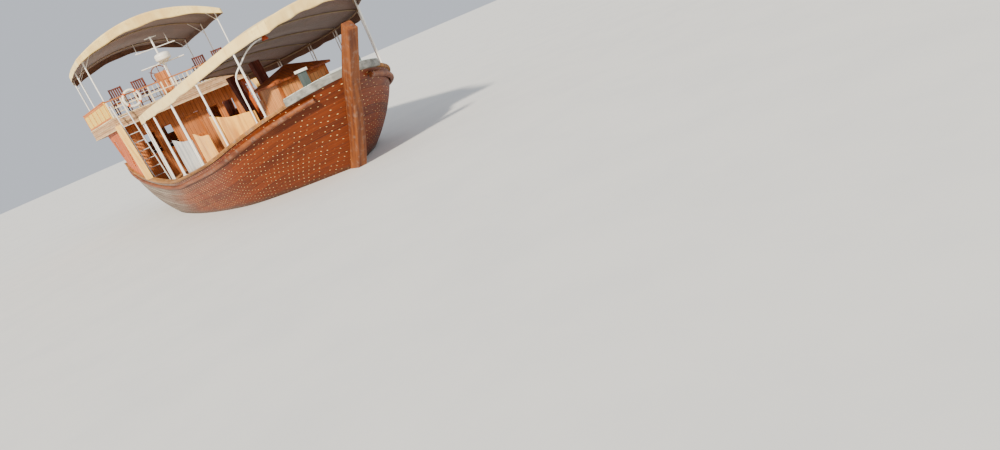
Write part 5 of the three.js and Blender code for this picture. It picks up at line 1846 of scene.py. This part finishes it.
@dataclass
class Ladder:
    """Two stringers and nine rungs of pipe, from the deck up past the upper deck's edge."""

    foot_x: float = -3.48
    run: float = 0.96
    top: float = 4.33
    y: float = -2.33
    half: float = 0.21
    rungs: int = 9
    stringer: float = 0.024
    rung: float = 0.016

    def build(self) -> None:
        """Rungs stand at equal steps up the slope."""
        foot_z = float(HULL.deck(self.foot_x)) + 0.001
        parts = []
        for side in Side:
            y = self.y + side.value * self.half
            ends = [self.foot_x, y, foot_z], [self.foot_x - self.run, y, self.top]
            parts.append(pipe(line(*ends, 3), self.stringer, 14, ATHWART))
        low = foot_z - 0.04
        for i in range(self.rungs):
            t = (i + 1) / (self.rungs + 1.5)
            x, z = self.foot_x - self.run * t, low + (self.top - low) * t
            ends = [x, self.y - self.half, z], [x, self.y + self.half, z]
            parts.append(pipe(line(*ends), self.rung, 12))
        add_piece("ladder_pipes", merged(parts), [LADDER_GREY], ["ladder"])


@dataclass
class Lifebuoy:
    """A foam ring with four bands of tape."""

    centre: tuple[float, float, float] = (-4.4547, -1.73, 4.33)
    radius: float = 0.3
    thick: float = 0.0485

    def build(self) -> None:
        """The bands are short sleeves round the ring, centred between the quarters."""
        x, y, z = self.centre
        parts = [ring(self.centre, self.radius, circle(self.thick, 20), Axis.X)]
        for k in range(4):
            angle = pi / 4 + k * pi / 2 + np.linspace(-0.13, 0.13, 7)
            across, up = y + self.radius * np.cos(angle), z + self.radius * np.sin(angle)
            path = np.stack([np.full(7, x), across, up], 1)
            parts.append(pipe(path, self.thick + 0.0015, 20, ALONG).with_slot(1))
        add_piece("lifebuoy_ring", merged(parts), [BUOY_WHITE, BUOY_ORANGE], ["lifebuoy"])


@dataclass
class Wheel:
    """A spoked wheel of turned wood on its shaft."""

    x: float = -5.99
    z: float = 4.83
    radius: float = 0.34
    handle: float = 0.088  # how far a spoke stands out past the rim
    shaft_end: float = -5.868

    def build(self) -> None:
        """A spoke's thickness swells and narrows along it."""
        x, z, tip = self.x, self.z, self.radius + self.handle
        parts = [ring((x, 0, z), self.radius, rounded(0.036, 0.046, 0.012), Axis.X)]
        swell = np.array([1.0, 1.25, 0.8, 1.15, 1.15, 0.75, 0.8, 1.2, 1.3, 0.9, 0.4])
        for k in range(6):
            angle = k * pi / 3
            end = np.array([x, tip * sin(angle), z + tip * cos(angle)])
            way = line([x, 0, z], end, len(swell))
            parts.append(sweep(way, circle(0.0145, 12), ALONG, swell))
        hub = [(0, -0.04), (0.04, -0.04), (0.055, -0.025), (0.055, 0.025), (0.04, 0.04), (0, 0.04)]
        parts.append(revolve(hub, (x, 0, z), Axis.X).with_slot(1))
        shaft = line([x, 0, z], [self.shaft_end, 0, z])
        parts.append(pipe(shaft, 0.019, 24, ATHWART).with_slot(2))
        finishes, node = [TRIM_ORANGE, BRONZE, STEEL], "helm_wheel"
        add_piece("wheel_with_spokes", merged(parts), finishes, [node], node)


@dataclass
class Chairs:
    """Slatted chairs behind the front rail, with their backs to the bow."""

    x: float = -5.02
    across: tuple[float, ...] = (-2.05, -1.2, 1.25, 2.05)
    leg_x: float = 0.21
    leg_y: float = 0.22
    leg_half: float = 0.02
    half: float = 0.24
    slats: int = 6
    seat: float = 4.36
    arm: float = 4.6
    back: Pair = (4.42, 4.86)
    top: float = 4.9

    def build(self) -> None:
        """Makes each chair."""
        for number, y in enumerate(self.across, 1):
            name = f"slatted_chair_{number}"
            add_piece(name, boxes(self._boards(y)), [CHAIR_RED], bevel=0.004)

    def _boards(self, y: float) -> list[Point]:
        """A chair's boards: legs, seat slats, back slats, and the rails and arms of its sides.

        Args:
            y: the chair's place.

        Returns:
            The boards' spans.
        """
        x, thick, low, high = self.x, self.leg_half, y - self.half, y + self.half
        rows: list[Point] = []
        for a in (x - self.leg_x, x + self.leg_x):
            for b in (y - self.leg_y, y + self.leg_y):
                ends = (a - thick, a + thick, b - thick, b + thick)
                rows.append((*ends, FLOOR + 0.001, self.seat if a < x else self.top))
        for i in range(self.slats):
            aft = x - 0.23 + i * 0.075
            rows.append((aft, aft + 0.06, low, high, self.seat, self.seat + 0.02))
        for i in range(self.slats):
            edge = y - 0.235 + i * 0.08
            rows.append((x + 0.195, x + 0.212, edge, edge + 0.055, *self.back))
        for z in (self.back[0], self.back[1] - 0.02):
            rows.append((x + 0.19, x + 0.226, low, high, z, z + 0.05))
        for b in (y - self.leg_y, y + self.leg_y):
            rail, arm = (b - 0.018, b + 0.018), (b - 0.026, b + 0.026)
            rows.append((x - self.leg_x, x + self.leg_x, *rail, self.seat - 0.05, self.seat))
            rows.append((x - 0.24, x + 0.23, *arm, self.arm, self.arm + 0.022))
            rows.append((x - 0.23, x - 0.194, *rail, self.seat, self.arm))
        return rows


def facing(axis: Axis, ways: Point, across: Point, up: Point) -> Point:
    """A block's spans on a wall that looks along X or Y.

    Args:
        axis: the axis that the wall looks along.
        ways: the block's ends along that axis.
        across: its ends across the wall.
        up: its foot and top.

    Returns:
        Its ends along X, Y and Z.
    """
    return (*ways, *across, *up) if axis is Axis.X else (*across, *ways, *up)


def framed(face: float, axis: Axis, opening: Point, wide: float, proud: float) -> list[Point]:
    """Four boards round an opening, on a wall's face.

    Args:
        face: where the wall's face is, along the axis.
        axis: the axis that the face looks along, X or Y.
        opening: the opening's least and greatest places across and up.
        wide: the boards' width.
        proud: how far they stand out, with the face's sign.

    Returns:
        The boards' spans.
    """
    a, b, low, high = opening
    left, right, foot, top = a - wide, b + wide, low - wide, high + wide
    ways = (face + copysign(LIFT, proud), face + proud)
    rows = (
        ((left, right), (high, top)), ((left, right), (foot, low)),
        ((left, a), (low, high)), ((b, right), (low, high)),
    )
    return [facing(axis, ways, across, up) for across, up in rows]


@dataclass(frozen=True)
class DoorTrim:
    """Two raised frames and a ring pull on a door's outer face, which turn with the door."""

    body: str
    axis: Axis
    face: float
    across: Pair  # the space for the frames, clear of the hinges
    up: Pair
    pull: float  # the ring's place across
    wide: float = 0.07
    proud: float = 0.012

    def build(self) -> None:
        """The frames stand one above the other, and the ring hangs between them."""
        (a, b), (low, high), wide = self.across, self.up, self.wide
        middle, rows = (low + high) / 2, []
        for foot, head in ((low, middle - 0.005), (middle + 0.005, high)):
            opening = (a + wide, b - wide, foot + wide, head - wide)
            rows += framed(self.face, self.axis, opening, wide, self.proud)
        ways = (self.face + self.proud + LIFT, self.face + 0.0155)
        across, up = (self.pull - 0.02, self.pull + 0.02), (middle - 0.045, middle + 0.045)
        plate = boxes([facing(self.axis, ways, across, up)])
        centre = [self.pull, self.pull, middle - 0.01]
        centre[self.axis.value] = self.face + 0.0205
        pull = ring(centre, 0.03, circle(0.0045, 10), self.axis, 32)
        whole = merged([boxes(rows), plate.with_slot(1), pull.with_slot(1)])
        finishes, name = [TRIM_ORANGE, IRON], f"{self.body}_panels"
        add_piece(name, whole, finishes, body=self.body, bevel=0.002)


DOOR_TRIMS = (
    DoorTrim("cabin_door", Axis.X, -5.244, (-0.404, 0.367), (1.224, 2.984), -0.369),
    DoorTrim("companion_door", Axis.Y, 0.746, (5.333, 5.904), (1.318, 2.604), 5.869),
)


@dataclass
class Joinery:
    """Trim on the cabin, the house and the upper deck: frames, corner boards, ledges and rails."""

    front: float = -5.24
    front_windows: tuple[float, ...] = (-1.9, -1.2, 0.75, 1.45)
    aft: float = -7.985
    aft_windows: tuple[float, ...] = (-1.7, -0.35, 1.0)
    window_trim: float = 0.05
    window_proud: float = 0.018
    side_top: Pair = (2.56, 3.73)  # half-breadth and height of the side wall's top
    slat_ends: Pair = (-5.079, -4.781)
    house_half: float = 0.75
    deck_half: float = 2.7
    deck_ends: Pair = (-9.3, -4.5)
    ledges: Table = ((3.88, 3.925), (3.482, 3.52), (3.69, 3.705))
    rail_half: float = 2.64
    rail_size: float = 0.025
    rail_top: float = 4.55

    def build(self) -> None:
        """Makes each group of boards as one piece."""
        self._cabin()
        self._slats()
        self._house()
        self._fascia()
        self._panels()
        for name, x in (("front", -4.53), ("aft", -9.27)):
            self._railing(name, x)
        for trim in DOOR_TRIMS:
            trim.build()

    @staticmethod
    def _add(name: str, spans: Sequence[Point], finish: Finish, slot: str = "timber_light") -> None:
        """Adds boards given by their spans."""
        add_piece(name, boxes(spans), [finish], bevel=0.003)

    def _cabin(self) -> None:
        """Frames round the front and aft windows."""
        trim, proud, rows = self.window_trim, self.window_proud, []
        for y in self.front_windows:
            rows += framed(self.front, Axis.X, (y, y + 0.45, 2.15, 2.95), trim, proud)
        for y in self.aft_windows:
            rows += framed(self.aft, Axis.X, (y, y + 0.7, 2.65, 3.25), trim, -proud)
        self._add("cabin_window_frames", rows, TRIM_ORANGE)

    def _wall(self, x: float, z: float) -> float:
        """The cabin's side wall leans in from the rail.

        Args:
            x: the place along.
            z: the height.

        Returns:
            The wall's half-breadth there.
        """
        foot_z, foot = float(HULL.rail(x)) + 0.085, float(HULL.beam(x)) - 0.02
        top, top_z = self.side_top
        return foot + (top - foot) * (z - foot_z) / (top_z - foot_z)

    def _slats(self) -> None:
        """Slats across the tall side openings, one above the other."""
        (aft, fore), profile = self.slat_ends, rounded(0.05, 0.035, 0.006)
        for side in Side:
            parts = []
            for i in range(8):
                z = 2.12 + i * 0.15
                y = side.value * (self._wall((aft + fore) / 2, z) - 0.03)
                parts.append(sweep(line([aft, y, z], [fore, y, z]), profile, ATHWART))
            add_piece(f"side_slats_{side.label}", merged(parts), [TRIM_ALONG])

    def _house(self) -> None:
        """Corner boards, a plinth and a plate under the eaves of the companion house."""
        (xa, ya, _), (xb, yb, top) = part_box("companion_walls")
        ya, yb = -min(-ya, self.house_half), min(yb, self.house_half)
        foot, out, wide, rows = float(HULL.deck(xb)) + 0.02, 0.012, 0.07, []
        ends = ((xa, -1), (xb, 1))
        for x, sx in ends:
            for y, sy in ((ya, -1), (yb, 1)):
                up = (foot, top - 0.002)
                rows.append((x + sx * out, x - sx * wide, y + sy * LIFT, y + sy * out, *up))
                rows.append((x + sx * LIFT, x + sx * out, y + sy * 0.0004, y - sy * wide, *up))
        for z in (top - 0.09, foot):
            for x, sx in ends:
                rows.append((x + sx * LIFT, x + sx * 0.01, ya + wide, yb - wide, z, z + 0.085))
        self._add("house_corner_boards", rows, TRIM_ORANGE)

    def _fascia(self) -> None:
        """Ledges along the top and foot of the upper deck's fascia, on all four sides."""
        (a, b), half, out, rows = self.deck_ends, self.deck_half, 0.016, []
        for up in self.ledges:
            for side in Side:
                ways = side.value * (half + LIFT), side.value * (half + out)
                rows.append((a - out, b + out, *ways, *up))
            rows.append((b + LIFT, b + out, -half, half, *up))
            rows.append((a - out, a - LIFT, -half, half, *up))
        self._add("fascia_ledges", rows, LEDGE_CREAM)

    def _panels(self) -> None:
        """A cap, a foot rail and stiles on each side panel of the upper deck."""
        a, b = self.deck_ends[0] + 0.06, self.deck_ends[1] - 0.06
        foot, head = 3.99, 4.48
        for side in Side:
            face = side.value * (self.deck_half - 0.01)
            near, out = face + side.value * LIFT, face + side.value * 0.014
            rows = [(a, b, near, out, head, 4.548), (a, b, near, out, 3.932, foot)]
            for x in np.linspace(a, b - 0.05, 6):
                rows.append((x, x + 0.05, near, out - side.value * 0.003, foot, head))
            cap = side.value * (self.deck_half - 0.065), side.value * (self.deck_half + 0.012)
            rows.append((a - 0.01, b + 0.01, *cap, 4.5505, 4.585))
            self._add(f"panel_trim_{side.label}", rows, TRIM_ALONG, "yellow_paint")

    def _railing(self, name: str, x: float) -> None:
        """A railing athwart the upper deck: cream stanchions under a brown top bar, with thinner
        ones between them above the middle bar.

        Args:
            name: the end that it stands at.
            x: its place.
        """
        half, size, top = self.rail_half, self.rail_size, self.rail_top
        wide, under = size + 0.008, top - 0.044
        bar = boxes([(x - wide, x + wide, -half, half, top - 0.045, top)]).with_slot(1)
        posts = np.linspace(-half + size, half - size, 11)
        rows = [(x - size, x + size, -half, half, 4.205, 4.24)]
        rows += [(x - 0.021, x + 0.021, y - size, y + size, FLOOR + 0.0003, under) for y in posts]
        for y in np.linspace(-half + size, half - size, 31):
            if np.abs(y - posts).min() > 0.05:
                rows.append((x - 0.01, x + 0.01, y - 0.01, y + 0.01, 4.239, under))
        whole, finishes = merged([bar, boxes(rows)]), [CREAM, RAIL_BROWN]
        piece, solid = f"upper_railing_{name}", f"upper_rail_{name}"
        add_piece(piece, whole, finishes, [solid], bevel=0.004)


# The studio


@dataclass
class Studio:
    """Camera, floor and lights. The camera stands where the photograph was taken."""

    eye: tuple[float, float, float] = (26.318, -8.738, 2.903)
    yaw: float = 147.599
    pitch: float = 16.033
    roll: float = 23.151
    lens: float = 27.684
    sensor: float = 36
    floor_radius: float = 160
    surround: tuple[float, ...] = (0.86, 0.91, 1.0, 1.0)
    surround_strength: float = 0.75
    # name, strength, spread and turn in degrees, colour
    suns: tuple[tuple[str, float, float, Point, Point], ...] = (
        ("key", 7.6, 4.0, (59, 0, 38), (1.0, 0.91, 0.76)),
        ("fill", 0.7, 30.0, (58, 0, 100), (0.95, 0.96, 1.0)),
    )

    def build(self) -> None:
        """Makes the camera, the floor and the lights."""
        self._camera()
        self._floor()
        self._lights()

    def _camera(self) -> None:
        """Its axes are worked out from yaw, pitch and roll."""
        yaw, pitch, roll = (radians(a) for a in (self.yaw, self.pitch, self.roll))
        level = cos(pitch)
        ahead = np.array([cos(yaw) * level, sin(yaw) * level, -sin(pitch)])
        right = np.cross(ahead, [0, 0, 1])
        right /= np.linalg.norm(right)
        up = np.cross(right, ahead)
        data = bpy.data.cameras.new("camera")
        data.lens = self.lens
        data.sensor_width = self.sensor
        data.clip_end = 500
        matrix = np.eye(4)
        matrix[:3, 0] = right * cos(roll) - up * sin(roll)
        matrix[:3, 1] = right * sin(roll) + up * cos(roll)
        matrix[:3, 2] = -ahead
        matrix[:3, 3] = self.eye
        camera = put("camera", data)
        camera.matrix_world = Matrix(matrix.tolist())
        bpy.context.scene.camera = camera

    def _floor(self) -> None:
        """A wide pale disc at the waterline."""
        mesh = bpy.data.meshes.new("floor")
        rim = np.zeros((96, 3))
        rim[:, :2] = circle(self.floor_radius, len(rim))
        mesh.from_pydata(rim.tolist(), [], [list(range(len(rim)))])
        mesh.materials.append(FLOOR_GREY.material())
        put("floor", mesh)

    def _lights(self) -> None:
        """A pale surround, a key from the starboard bow and a weaker fill."""
        world = bpy.data.worlds.new("studio")
        world.use_nodes = True
        background = world.node_tree.nodes["Background"]
        background.inputs[0].default_value = self.surround
        background.inputs[1].default_value = self.surround_strength
        bpy.context.scene.world = world
        for name, strength, spread, turn, colour in self.suns:
            data = bpy.data.lights.new(name, "SUN")
            data.energy = strength
            data.angle = radians(spread)
            data.color = colour
            put(name, data).rotation_euler = [radians(a) for a in turn]


# The solids that keep their own mesh: finish, width of rounded edges, names
DRESSED = (
    (PLATFORM_GREY, 0.01, "bow_platform"), (BRONZE, 0.0, "propeller"),
    (HOUSE_WALL, 0.004, "companion_walls"), (ROOF_BOARDS, 0.008, "companion_roof"),
    (HOUSE_WALL, 0.003, "companion_door"), (HOUSE_WALL, 0.008, "deck_locker"),
    (TRIM_ATHWART, 0.006, "hatch_coaming"), (DECK_BOARDS, 0.008, "hatch_lid"),
    (KING_RED, 0.015, "king_post_aft", "king_post_fore"), (FASCIA_SIDE, 0.006, "upper_deck"),
    (POST_YELLOW, 0.01, "corner_post_starboard", "corner_post_port"),
    (CABIN_SIDE, 0.0, "cabin_side_starboard", "cabin_side_port"),
    (CABIN_END, 0.003, "cabin_front", "cabin_door", "cabin_aft"),
    (PANEL_YELLOW, 0.004, "panel_starboard", "panel_port"), (CABIN_END, 0.008, "helm_pedestal"),
)


def main() -> None:
    """Builds the sub-assemblies in order."""
    Studio().build()
    Shell().build()
    # cream on top, painted shade on the underside
    cloth = (AWNING_TOP, AWNING_UNDERSIDE_SHADE)
    lower, upper = LowerFrame(), UpperFrame()
    lower.build()
    LOWER.build(cloth, lower.names())
    LOWER.flap("fore_valance", True, (0.27, 0.0))
    upper.build()
    UPPER.build(cloth, upper.names())
    UPPER.flap("upper_fore_valance", True, (0.2, 0.18))
    UPPER.flap("upper_aft_valance", False, (0.22, 0.0))
    for part in (*SCREENS, Foredeck(), Mast(), Ladder(), Lifebuoy(), Wheel(), Chairs(), Joinery()):
        part.build()
    for finish, bevel, *nodes in DRESSED:
        for node in nodes:
            dress(node, finish, bevel)


if __name__ == "__main__":
    logging.basicConfig(level=logging.INFO)
    main()
